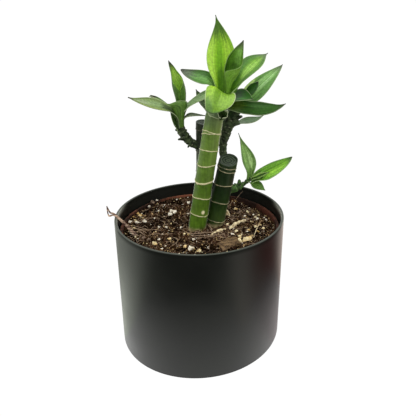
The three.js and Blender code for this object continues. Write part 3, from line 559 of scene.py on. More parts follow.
# Single roots that show clearly, each with its points and its radius in millimetres.
SINGLE_ROOTS = [
    ([(30, 41, 99), (33.5, 44, 103), (38, 46, 107.5)], 0.16),
    ([(17.9, -11, 98.6), (19, -6, 100), (18.2, -2, 102), (18.6, 1, 104)], 0.2),
    ([(4.2, -10.8, 104.5), (6.5, -11.4, 102), (9, -12.6, 99.8), (11, -14.5, 99)], 0.22),
    ([(6.6, -9.5, 103.5), (7.6, -11.5, 101), (8.2, -15, 99.6), (9, -21, 99)], 0.18),
    ([(23, 9, 99.4), (25, 4, 100), (25.6, -1, 99.4)], 0.3),
    ([(19.5, -5, 99), (20.5, -6.6, 100), (22.4, -6.4, 99.6), (22.8, -4.6, 99)], 0.5),
    ([(14.5, 8, 109), (19, 9, 107.5), (23, 12, 108.5), (27, 16, 111.5)], 0.3),
    ([(-14, -10, 99.2), (-12.6, -16, 100), (-7.4, -19.6, 100.3), (-1, -19.8, 100.2),
      (4, -17.6, 99.6)], 0.26),
    ([(-10, -20, 99), (-3, -22.5, 99.8), (5, -22.4, 99.8), (13, -21, 99.4),
      (18, -20, 98.8)], 0.24),
    ([(-6, -24.5, 99), (3, -25, 99.6), (10, -23.4, 99.6), (17.6, -25.4, 99), (24, -29, 99)], 0.24),
    ([(-3, -17.5, 99.4), (3, -18.6, 100.4), (9, -18.4, 100.3), (14, -16, 99.8)], 0.3),
    ([(-36, -16, 99.4), (-29, -18.5, 99.8), (-22, -17, 99.4)], 0.22),
    ([(-52, 4, 99.4), (-47, 9, 100), (-40, 11.5, 99.6), (-35, 12, 99.2)], 0.2),
    ([(-50, -9, 100), (-42, -12, 100.6), (-36, -10.5, 100), (-31, -12, 99.4)], 0.22),
    ([(-33, 6, 99.4), (-29, 1, 100.2), (-30, -5, 100), (-26, -9, 99.4)], 0.2),
    ([(-22, -22, 99), (-18, -27, 99.8), (-19, -33, 99.6), (-23, -37, 99)], 0.22),
    ([(-56, -8, 101), (-51, -9, 100.4), (-46, -12, 100.4), (-42, -15, 99.4)], 0.34),
    ([(-58, -6, 102), (-53, -5, 101), (-48, -7, 100.3), (-43, -10, 100.3),
      (-39, -13, 99.2)], 0.2),
    ([(-52, -13, 99.6), (-47, -15, 100.2), (-43, -19, 99.3)], 0.28),
]
for points, radius in SINGLE_ROOTS:
    pale_threads.append(smooth_path(points, radius))
coir = strands("coir_fibres", dark_threads, 4)
root_hairs = strands("dead_root_hairs", pale_threads, 4)

# Coir is coarse brown plant fibre, matt, darker where damp. Dead roots have a pale tan skin, dry
# and wrinkled.
coir_fibre = dry_skin("coir_fibre", [140] * 3, 2, ("#35241a", "#7a5c42"), (0, 1), (0, 0.0002),
                      0.85, 1.45)
finish_piece(coir, coir_fibre, "dry_wood")
dead_root = dry_skin("dead_root_skin", [160] * 3, 3, ("#6b4f3c", "#c3a887"), (0, 1),
                     (0.4, 0.0002), 0.8, 1.45)
finish_piece(root_hairs, dead_root, "dry_wood")

# Dry root tuft
# A bundle of old roots that grew up over the rim of both pots and dried there. They lie side by
# side, shrunk and reddish brown, and fray apart at the free end.
TUFT_SPINE = [(-46.5, -21, 95.4), (-50, -15, 97), (-57, -7, 101), (-66.5, -4.5, 110.4),
              (-70.5, -2.5, 111.5), (-73, -1.5, 117)]
TUFT_ROOTS = 17
draw = random.Random(23)
tuft_paths = []
for number in range(TUFT_ROOTS):
    turn = math.tau * number / TUFT_ROOTS
    fray = draw.uniform(0.6, 1)
    spread = Vector((math.cos(turn) * 0.5, math.sin(turn) * 0.95, math.sin(turn) * 0.35))
    points = []
    for knot, share in zip(TUFT_SPINE, (2.0, 1.9, 1.7, 1.2, 0.9, 0.3)):
        points.append(Vector(knot) + spread * share * fray)
    if math.sin(turn) < 0:
        points[-2] += Vector((-1.2, 0, -2.2))
    if draw.random() < 0.3:
        points = points[:-1]
    tuft_paths.append(smooth_path(points, draw.uniform(0.22, 0.48), 0.5))
dry_tuft = strands("dried_root_tuft", tuft_paths, 6)

# Dried root: papery reddish brown skin with pale worn streaks along it.
dried_root = dry_skin("dried_root_bundle", (90, 700, 500), 4, ("#4a2d21", "#cbae92"),
                      (0.38, 0.64), (0.5, 0.0003), 0.75, 1.45)
finish_piece(dry_tuft, dried_root, "dry_wood", "dry_root_tuft")

# Sticks
# Two broken root ends lie in front of the canes, straw yellow and lumpy where rootlets broke off.
# A cream rootlet lies beside the dark cane, and a thin stalk of straw at the right.

# Each has its radius and its points in millimetres, and the node whose place it takes.
STICKS = {
    "dry_stick_front": (1.0, [(7.5, -19.5, 98.6), (11, -18.6, 99.6), (15, -15, 100),
                              (19.5, -12.5, 99.6)], "stick_front"),
    "dry_stick_right": (1.4, [(22.5, -10.5, 98.8), (26, -7, 99.8), (30.6, -2.4, 100.2),
                              (36.6, 2, 99.6)], "stick_right"),
    "cream_rootlet": (0.8, [(19.8, 19.5, 101), (21.4, 17.8, 102), (23, 14.5, 101.2),
                            (24, 11, 99.2)]),
    "straw_stalk": (0.28, [(47.7, -4, 99.8), (46, -11, 101), (43, -19, 100.8),
                           (40.2, -27.5, 99.2)]),
}


def lumpy_stick(name, points, radius):
    """A stick that swells and shrinks along its length, made from one strand."""
    path = []
    for place_on, thick in smooth_path(points, radius, 0.25, 9):
        swell = 1 + 0.9 * noise.noise(place_on * 420) + 0.35 * noise.noise(place_on * 1100)
        wander = Vector((0, 1, 0.5)) * (0.0009 * noise.noise(place_on * 300))
        path.append((place_on + wander, thick * swell))
    return strands(name, [path], 12)


straw = dry_skin("dry_straw_yellow_root", [520] * 3, 4, ("#efddb0", "#7f643c"), (0.44, 0.7),
                 (0.6, 0.0004), 0.8, 1.45)
for name, (radius, points, *replaced) in STICKS.items():
    finish_piece(lumpy_stick(name, points, radius), straw, "dry_wood", *replaced)

# Bark chip
# One large flake of pine bark lies on the soil at the front, split along its layers, with a
# ragged outline and ridged faces.
CHIP_SIZE = (0.0155, 0.0105, 0.0036)


def chip_point(point):
    """The place on the ragged flake of a point of a cube of 1 m."""
    x, y, z = point
    ragged = noise.noise(Vector((x * 3, y * 3, 2))) * 0.16 + noise.noise(
        Vector((x * 9, y * 9, 5))) * 0.07
    narrow = 1 - 0.3 * abs(x) + ragged
    ridge = 0.22 * noise.noise(Vector((x * 2.5, y * 14, 1))) + 0.1 * noise.noise(
        Vector((x * 9, y * 22, 3)))
    thin = 1 - 0.5 * abs(y)
    bend = 0.0006 * math.sin(math.tau * x)
    return Vector((x * (1 + ragged * 0.6) * CHIP_SIZE[0],
                   y * narrow * CHIP_SIZE[1] + bend,
                   (z * thin + ridge) * CHIP_SIZE[2]))


bpy.ops.mesh.primitive_cube_add(size=1)
bark_flake = bpy.context.object
bark_flake.name = "pine_bark_flake"
bpy.ops.object.mode_set(mode="EDIT")
bpy.ops.mesh.subdivide(number_cuts=31)
bpy.ops.object.mode_set(mode="OBJECT")
lie = (Matrix.Translation((0.0208, -0.0352, 0.0983))
       @ Matrix.Rotation(math.radians(24), 4, "Z")
       @ Matrix.Rotation(math.radians(-7), 4, "Y") @ Matrix.Rotation(math.radians(8), 4, "X"))
for point in bark_flake.data.vertices:
    point.co = lie @ chip_point(point.co)
bpy.ops.object.shade_smooth_by_angle(angle=0.9)

# Pine bark: brown layers with pale, worn ridges.
pine_bark = dry_skin("pine_bark", (260, 520, 400), 5, ("#33210f", "#8c7049"), (0.4, 0.62),
                     (0.7, 0.0005), 0.85, 1.45, math.radians(-24), 0.75)
finish_piece(bark_flake, pine_bark, "dry_wood", "bark_chip")

# Canes
# Three living canes of the plant, each a jointed green stem stood in the soil. Pale scars ring
# them where leaves once clasped them, and two of them were sawn off above a joint.

# Lengths are in millimetres. A scar has its height and thickness, and how much higher it runs on
# the right and at the front. The bud scar has its turn in radians from the front, its height,
# and half its width and length. The crown is the height from which the cane narrows, and its
# radius at the end. A cut is a point of its plane and the way it faces.
CANES = {
    "main_cane": {
        "axis": [(-9.8, -8, 60), (-2, -8, 100), (4.3, -8, 160), (14, -7.5, 207)],
        "scars": [(112.5, 0.5, 0, 0), (126.8, 0.55, -0.2, 0), (141, 0.95, -1.3, -1.2),
                  (154, 0.55, -1.2, -0.6), (164.7, 0.42, 0, 1.3), (177.5, 0.38, -1, 2.2),
                  (178.7, 0.35, 0.7, 1.6)],
        "radius": 7, "crown": (190, 3), "bud_scar": (-0.35, 115.9, 1.5, 1.9),
    },
    "dark_cane": {
        "axis": [(6.5, -1, 60), (7.8, -1.2, 88), (13.5, -1.5, 112), (22.6, -1.5, 158)],
        "scars": [(104, 0.5, 0, 0), (120, 0.5, 0, 0), (135, 0.5, -0.3, 0),
                  (147.4, 0.45, 0.4, -1.3), (149.2, 0.35, 0.3, 0)],
        "radius": 7.4, "cut": ((21.7, -1.5, 154.4), (0.05, -0.36, 0.93)),
    },
    "rear_cane": {
        "axis": [(2.6, 11, 60), (2.6, 11, 100), (2.8, 11, 140), (3, 11, 190)],
        "scars": [(108, 0.5, 0, 0), (124, 0.5, 0, 0), (141, 0.5, 0, 0), (158, 0.4, 0, 0),
                  (176, 0.4, 0, 0)],
        "radius": 6.2, "cut": ((3, 11, 181.5), (0.05, -0.1, 1)),
    },
}


def bezier(points, along):
    """The point and the direction of a cubic curve. Its points are in millimetres."""
    a, b, c, d = (Vector(point) * 0.001 for point in points)
    rest = 1 - along
    point = a * rest ** 3 + b * 3 * rest ** 2 * along + c * 3 * rest * along ** 2 + d * along ** 3
    tangent = (b - a) * rest ** 2 + (c - b) * 2 * rest * along + (d - c) * along ** 2
    return point, tangent.normalized()


def round_point(axis, along, turn, radius):
    """A point on the skin of a round stem. Turn 0 is its front and a half turn its back."""
    centre, tangent = bezier(axis, along)
    side = Vector((0, -1, 0)).cross(tangent).normalized()
    front = tangent.cross(side)
    return centre + (front * math.cos(turn) + side * math.sin(turn)) * radius


def cane_marks(cane, height, turn):
    """How much a point lies on a leaf scar and how close above one it is, each 0 to 1."""
    scar, above = 0, 0
    for number, (ring, thickness, tilt, lean) in enumerate(cane["scars"]):
        wander = (0.15 * math.sin(turn + 2.1 * number) + tilt * math.sin(turn)
                  + lean * math.cos(turn) + 0.2 * math.sin(3 * turn + number)
                  + 0.3 * noise.noise(Vector((math.cos(turn), math.sin(turn), number)) * 2.5))
        gap = height - ring - wander
        ragged = thickness * (1 + 0.5 * noise.noise(Vector((turn * 3, number, 5))))
        scar = max(scar, 1 - abs(gap) / ragged)
        if gap > 0:
            above = max(above, math.exp(-gap / 3.5))
    if "bud_scar" in cane:
        where, level, width, tall = cane["bud_scar"]
        reach = math.hypot((turn - where) * cane["radius"] / width, (height - level) / tall)
        scar = max(scar, 1.2 - reach)
    return scar, above


def mark(piece, title, values):
    """Keeps a value on each point, for the material to read."""
    piece.data.attributes.new(title, "FLOAT", "POINT").data.foreach_set("value", values)


def fill_ends():
    """Closes the open ends of the tube that is being edited."""
    bpy.ops.object.mode_set(mode="EDIT")
    pick("EDGE", lambda edge: edge.is_boundary)
    bpy.ops.mesh.edge_face_add()


def cane_piece(name, cane):
    """A cane with swollen joints and raised scars, cut and hollowed at its top if it was sawn."""
    scars, joints = [], []

    def skin(u, v):
        turn = math.tau * (u - 0.5)
        height = bezier(cane["axis"], v)[0].z * 1000
        scar, above = cane_marks(cane, height, turn)
        radius = cane["radius"] + 0.3 * smoothstep(0, 0.8, scar) + 0.25 * above - 0.12
        radius += 0.1 * noise.noise(Vector((math.cos(turn), math.sin(turn), height / 9)) * 1.6)
        if "crown" in cane:
            share = smoothstep(cane["crown"][0], cane["axis"][3][2], height)
            radius += (cane["crown"][1] - radius) * share
        scars.append(smoothstep(0.1, 0.7, scar))
        joints.append(above)
        return round_point(cane["axis"], v, turn, radius * 0.001)

    piece = lay_grid(name, 64, 420, skin)
    mark(piece, "scar", scars)
    mark(piece, "joint", joints)
    close_seams(piece)
    fill_ends()
    if "cut" in cane:
        at, normal = cane["cut"]
        bpy.ops.mesh.select_all(action="SELECT")
        bpy.ops.mesh.bisect(plane_co=[value * 0.001 for value in at], plane_no=normal,
                            clear_outer=True, use_fill=True)
        # The bark stands up as a rim round the wood, which has shrunk towards its middle.
        for width, rise in ((0.0005, 0.00015), (0.0004, -0.0004), (0.0022, -0.0003),
                            (0.002, -0.0002)):
            bpy.ops.mesh.inset(thickness=width, depth=rise)
    bpy.ops.object.mode_set(mode="OBJECT")
    bpy.ops.object.shade_smooth_by_angle(angle=0.7)
    return piece


def cut_face(tree, place, colour, at, normal):
    """The sawn end: dark, with faint growth rings, laid over the bark colour."""
    away = add_node(tree, "VectorMath", {0: place, 1: [value * 0.001 for value in at]},
                    operation="SUBTRACT")
    reach = add_node(tree, "VectorMath", {0: away}, operation="LENGTH")
    blur = add_node(tree, "TexNoise", {"Vector": place, "Scale": 350, "Detail": 3})
    wobble = add_node(tree, "Math", {0: blur, 1: 0.0016, 2: reach}, operation="MULTIPLY_ADD")
    waves = add_node(tree, "Math", {0: wobble, 1: 3300}, operation="MULTIPLY")
    rings = add_node(tree, "Math", {0: waves}, operation="SINE")
    wood = laid_over(tree, "#0a150a", "#4f5e46", rings, -1, 1)
    face = add_node(tree, "NewGeometry")
    upward = add_node(tree, "VectorMath", {0: face.outputs["Normal"], 1: normal},
                      operation="DOT_PRODUCT")
    return laid_over(tree, colour, wood, upward, 0.8, 0.9)


def cane_skin(name, look, cut):
    """Waxy living bark: green that changes up the cane, with dry tan leaf scars."""
    material, tree, place = new_material(name)
    spot = add_node(tree, "SeparateXYZ", {0: place}).outputs
    mottle = add_node(tree, "TexNoise", {"Vector": place, "Scale": 260, "Detail": 5,
                                         "Roughness": 0.65})
    stretch = add_node(tree, "Mapping", {"Vector": place, "Scale": (800, 800, 60)})
    fibre = add_node(tree, "TexNoise", {"Vector": stretch, "Scale": 1, "Detail": 3})
    joint = add_node(tree, "Attribute", attribute_name="joint").outputs["Fac"]
    scar = add_node(tree, "Attribute", attribute_name="scar").outputs["Fac"]
    colour = look["foot"]
    for start, end, green in look["greens"]:
        colour = laid_over(tree, colour, green, spot["Z"], start, end, way="SMOOTHSTEP")
    colour = shaded(tree, colour, mottle, 0.3, 0.7, 0.7, 1.3)
    # A painted highlight lightens the right side of the main cane, high up.
    right = add_node(tree, "MapRange", {"Value": spot["X"], "From Min": 0.006, "From Max": 0.015})
    up = add_node(tree, "MapRange", {"Value": spot["Z"], "From Min": 0.15, "From Max": 0.17,
                                     "To Max": look.get("right_highlight_strength", 0)})
    painted_right_highlight = add_node(tree, "Math", {0: right, 1: up}, operation="MULTIPLY")
    colour = add_node(tree, "Mix", {0: painted_right_highlight, 6: colour, 7: "#8d9d58"})
    colour = laid_over(tree, colour, look["joint"], joint, 0, 1, look["young"])
    colour = shaded(tree, colour, fibre, 0.35, 0.65, 0.88, 1.12)
    dirt = laid_over(tree, "#4a3a22", "#b3a37a", mottle, 0.4, 0.6)
    colour = laid_over(tree, colour, dirt, spot["Z"], 0.1035, 0.0985, way="SMOOTHSTEP")
    colour = add_node(tree, "Mix", {0: scar, 6: colour, 7: look["scar"]})
    if cut:
        colour = cut_face(tree, place, colour, *cut)
    gloss = add_node(tree, "MapRange", {"Value": scar, "To Min": look["polish"], "To Max": 0.8})
    relief = add_node(tree, "Bump", {"Height": fibre, "Strength": 0.15, "Distance": 0.0002})
    wax = add_node(tree, "BsdfPrincipled", {
        "Base Color": colour, "Roughness": gloss, "IOR": 1.45, "Specular IOR Level": 0.3,
        "Sheen Weight": look["bloom"], "Sheen Roughness": 0.2, "Normal": relief})
    add_node(tree, "OutputMaterial", {0: wax})
    return material


# The green at the cane's foot, then the heights in metres at which each further green begins and
# is fully reached. Bloom is the dull wax that catches the light along the cane's edges.
CANE_LOOKS = {
    "main_cane": {
        "foot": "#4e6e19",
        "greens": [(0.106, 0.118, "#4c6a19"), (0.122, 0.134, "#466516"),
                   (0.138, 0.150, "#547222"), (0.152, 0.162, "#5a7826"),
                   (0.176, 0.192, "#52683a")],
        # The main cane carries a painted highlight on its upper right, this strong.
        "joint": "#75863a", "young": 0.35, "scar": "#efe4b4", "polish": 0.36, "right_highlight_strength": 0.3,
        "bloom": 1.0, "slot": "green_cane",
    },
    "dark_cane": {
        "foot": "#30441a",
        "greens": [(0.108, 0.120, "#1d3210"), (0.122, 0.134, "#182a10"),
                   (0.138, 0.150, "#1b2c14")],
        "joint": "#33431d", "young": 0.3, "scar": "#c4b78f", "polish": 0.36, "bloom": 0.25,
        "slot": "dark_cane",
    },
    "rear_cane": {
        "foot": "#5c6450", "greens": [(0.120, 0.145, "#414a36"), (0.150, 0.165, "#262d1e")],
        "joint": "#4a523c", "young": 0.3, "scar": "#6f6650", "polish": 0.5, "bloom": 1.0,
        "slot": "dark_cane",
    },
}
for name, look in CANE_LOOKS.items():
    skin = cane_skin(name + "_bark", look, CANES[name].get("cut"))
    finish_piece(cane_piece("grown_" + name, CANES[name]), skin, look["slot"], name)

# Cane top
# Old leaf sheaths still clasp the main cane under its tuft: one wraps the stem and ends in a
# slanting pale edge, and one has dried and curled into an open tube.
WRAP_TOP = 204
SHEATH_THICKNESS = 0.0003


def along_at(axis, height):
    """How far along a rising axis a height in millimetres is reached, from 0 to 1."""
    low, high = 0, 1
    for _ in range(24):
        middle = (low + high) / 2
        if bezier(axis, middle)[0].z * 1000 < height:
            low = middle
        else:
            high = middle
    return low


def wrap_point(u, v):
    """A point of the sheath that wraps the cane. Its lower edge falls to the right."""
    turn = -0.9 + 3.5 * u
    low = max(187.1 + 7.9 * turn, 191.6) + 0.4 * math.sin(4 * turn)
    height = WRAP_TOP + (min(low, WRAP_TOP - 1) - WRAP_TOP) * v
    cane = CANES["main_cane"]
    axis, (crown_height, crown_radius) = cane["axis"], cane["crown"]
    narrowing = smoothstep(crown_height, axis[3][2], height)
    radius = cane["radius"] + (crown_radius - cane["radius"]) * narrowing + 0.3 + 0.5 * v ** 3
    return round_point(axis, along_at(axis, height), turn, radius * 0.001)


def thin_sheet(name, columns, rows, place_point, thickness):
    """A sheet that is given an even thickness, with its rim closed."""
    sheet = lay_grid(name, columns, rows, place_point)
    body = sheet.modifiers.new("body", "SOLIDIFY")
    body.thickness = thickness
    body.offset = 0
    body.use_even_offset = True
    bpy.ops.object.modifier_apply(modifier="body")
    bpy.ops.object.shade_smooth_by_angle(angle=0.9)
    return sheet


CURL_AXIS = [(15, -11, 191), (16, -14, 191.5), (16.6, -17, 193.5), (16.4, -20.5, 196.6)]


def curl_point(u, v):
    """A point of the curled tube, which is narrow where it grows and flares at its mouth."""
    radius = 1.6 + 2.2 * v ** 1.5 + 0.35 * math.sin(5 * math.tau * u) * v ** 3
    return round_point(CURL_AXIS, v, 0.5 + 5.9 * u, radius * 0.001)


def sheath_skin(name, outside, inside, rim, width):
    """Dry sheath: fine ribs along it and a pale papery edge of a given share of its height."""
    material, tree, unwrapped = new_material(name, "UV")
    height = add_node(tree, "SeparateXYZ", {0: unwrapped}).outputs["Y"]
    stretch = add_node(tree, "Mapping", {"Vector": unwrapped, "Scale": (26, 2, 1)})
    ribs = add_node(tree, "TexNoise", {"Vector": stretch, "Scale": 1, "Detail": 2})
    colour = laid_over(tree, outside, inside, ribs, 0.35, 0.65)
    colour = laid_over(tree, colour, rim, height, 1 - width, 1 - 0.6 * width)
    relief = add_node(tree, "Bump", {"Height": ribs, "Strength": 0.3, "Distance": 0.0002})
    skin = add_node(tree, "BsdfPrincipled", {"Base Color": colour, "Roughness": 0.6, "IOR": 1.42,
                                             "Normal": relief})
    add_node(tree, "OutputMaterial", {0: skin})
    return material


finish_piece(thin_sheet("wrapping_sheath", 40, 40, wrap_point, SHEATH_THICKNESS),
             sheath_skin("green_sheath", "#556a3e", "#6b7f52", "#a9b586", 0.05), "green_leaf")
finish_piece(thin_sheet("curled_sheath", 40, 24, curl_point, SHEATH_THICKNESS),
             sheath_skin("dry_curled_sheath", "#567434", "#3a5722", "#b9c39a", 0.16), "green_leaf")

# Side shoots
# Short woody branches that sprout from the canes and carry the lower tufts of leaves. Fallen
# leaves have left them covered in rough, ragged collars and a few broken stubs.

# Lengths are in millimetres. The radii stand at even steps up the axis, scars is the number of
# collars, and each stub has its foot, its tip and its radius.
SHOOTS = {
    "right_shoot_stem": {
        "axis": [(19.5, 3.5, 145), (15.5, 11.5, 168), (19, 9, 178), (30, 6.5, 198)],
        "radii": [2.6, 2.8, 3.2, 4.5, 5.4, 4.2, 2.2], "scars": 9,
        "stubs": [((25, 5, 184.5), (32.8, 5, 187.8), 1.9), ((23.5, 5, 180), (31, 6, 181.6), 1.7),
                  ((20, 6, 174.8), (24.8, 5, 176.6), 1.5), ((26, 4, 190), (31, 2, 191.5), 1.6),
                  ((24, 5.5, 183), (30.2, 6, 183.6), 2.2),
                  ((22, 2.6, 186), (19.6, 0.5, 191), 1.6), ((17, 5, 166), (15, 3, 169.5), 1.3)],
    },
    "left_shoot_stem": {
        "axis": [(3.5, 10.5, 160.5), (-12, 8, 166), (-16.5, 6.5, 176), (-15.3, 7.5, 188)],
        "radii": [3.4, 3.2, 3.2, 3.6, 3.3, 2, 1.5], "scars": 8,
        "stubs": [((-14, 6.5, 174.5), (-18.8, 5.5, 176.8), 1.5),
                  ((-11, 7, 168.4), (-16.9, 5.5, 169), 1.4),
                  ((-7, 7, 165), (-9.5, 4, 163), 1.2), ((-14.5, 5, 178), (-16.5, 2.5, 182.5), 1.2)],
    },
    "small_shoot_stem": {
        "axis": [(18.5, 0, 128.5), (31, 4, 128), (34, 5, 131), (41, 4.5, 136)],
        "radii": [3.2, 3.3, 3.2, 2.6, 1.6, 1.4, 1.2], "scars": 6,
        "stubs": [((31, 3, 131), (31, 3.4, 135.8), 1.7), ((25, -1.5, 129), (21.5, -4, 131.5), 1.3)],
    },
}


def shoot_piece(name, shoot):
    """A shoot that is stepped like a stack of torn collars."""
    rims = []

    def skin(u, v):
        turn = math.tau * (u - 0.5)
        place_along = min(v * 6, 5.999)
        below = int(place_along)
        radius = (shoot["radii"][below] * (below + 1 - place_along)
                  + shoot["radii"][below + 1] * (place_along - below))
        wander = 0.12 * math.sin(turn * 2 + v * 20) + 0.06 * math.sin(turn * 5 + v * 7)
        scar = (v * shoot["scars"] + wander) % 1
        ragged = noise.fractal(Vector((math.cos(turn) * 2, math.sin(turn) * 2, v * 14)), 1, 2, 3)
        radius += 0.5 * (scar ** 3 - 0.25) + 0.7 * ragged
        rims.append(smoothstep(0.8, 0.97, scar))
        return round_point(shoot["axis"], v, turn, radius * 0.001)

    piece = lay_grid(name, 40, 170, skin)
    mark(piece, "scar", rims)
    close_seams(piece)
    fill_ends()
    bpy.ops.object.mode_set(mode="OBJECT")
    bpy.ops.object.shade_smooth()
    return piece


def stub_path(foot, tip, radius):
    """A broken stub that tapers and bends a little from its foot to its ragged tip."""
    start, end = Vector(foot) * 0.001, Vector(tip) * 0.001
    path = []
    for step in range(6):
        share = step / 5
        bend = Vector((0, 0, 0.0006 * math.sin(math.pi * share)))
        path.append((start.lerp(end, share) + bend, radius * 0.001 * (1 - 0.6 * share ** 2.5)))
    return path


# Young bark: dark brown-green, corky, with dry tan edges on the old leaf collars. Low down near
# the soil, on the smallest shoot, it is still green.
corky_bark, tree, place = new_material("corky_shoot_bark")
height = add_node(tree, "SeparateXYZ", {0: place}).outputs["Z"]
blotch = add_node(tree, "TexNoise", {"Vector": place, "Scale": 320, "Detail": 4})
streak = add_node(tree, "TexNoise", {"Vector": place, "Scale": 600, "Detail": 2})
corky = laid_over(tree, "#13200a", "#44552f", blotch, 0.35, 0.65)
green = laid_over(tree, "#1c3310", "#4f7a30", blotch, 0.35, 0.65)
colour = laid_over(tree, corky, green, height, 0.146, 0.141)
scar = add_node(tree, "Attribute", attribute_name="scar").outputs["Fac"]
torn = add_node(tree, "MapRange", {"Value": streak, "From Min": 0.42, "From Max": 0.62,
                                   "To Max": 0.75})
dry = add_node(tree, "Math", {0: torn, 1: scar}, operation="MULTIPLY")
colour = add_node(tree, "Mix", {0: dry, 6: colour, 7: "#939673"})
relief = add_node(tree, "Bump", {"Height": blotch, "Strength": 0.5, "Distance": 0.0003})
bark = add_node(tree, "BsdfPrincipled", {"Base Color": colour, "Roughness": 0.75, "IOR": 1.45,
                                         "Normal": relief})
add_node(tree, "OutputMaterial", {0: bark})
for name, shoot in SHOOTS.items():
    finish_piece(shoot_piece("grown_" + name, shoot), corky_bark, "shoot_bark", name)
    paths = [stub_path(*stub) for stub in shoot["stubs"]]
    stubs = strands(name.replace("stem", "stubs"), paths, 8)
    finish_piece(stubs, corky_bark, "shoot_bark")

# Clasping sheath
# The lowest leaf of the right-hand tuft wraps the shoot with a broad green sheath, open at the
# back, that ends in a slanting edge.
CLASP_THICKNESS = 0.0004


def clasp_point(u, v):
    """A point of the sheath round the right shoot. Its lower edge slants."""
    turn = -2.5 + 5 * u
    torn = 0.05 * math.sin(turn + 0.6) + 0.025 * math.sin(5 * turn) + 0.012 * math.sin(13 * turn)
    along = 1.0 - (0.19 + torn) * v
    return round_point(SHOOTS["right_shoot_stem"]["axis"], along, turn,
                       (3 + 2.4 * v - 0.5 * v ** 4) * 0.001)


finish_piece(thin_sheet("clasping_sheath", 36, 24, clasp_point, CLASP_THICKNESS),
             sheath_skin("dark_green_sheath", "#32501c", "#1f3512", "#3c4a2c", 0.1), "green_leaf")

# Leaves
# Each leaf is one long blade whose foot rolls round the shoot as a sheath. Blades are about half
# a millimetre thick, stiff and waxy, with fine veins that run their whole length.
LEAF_THICKNESS = 0.0005
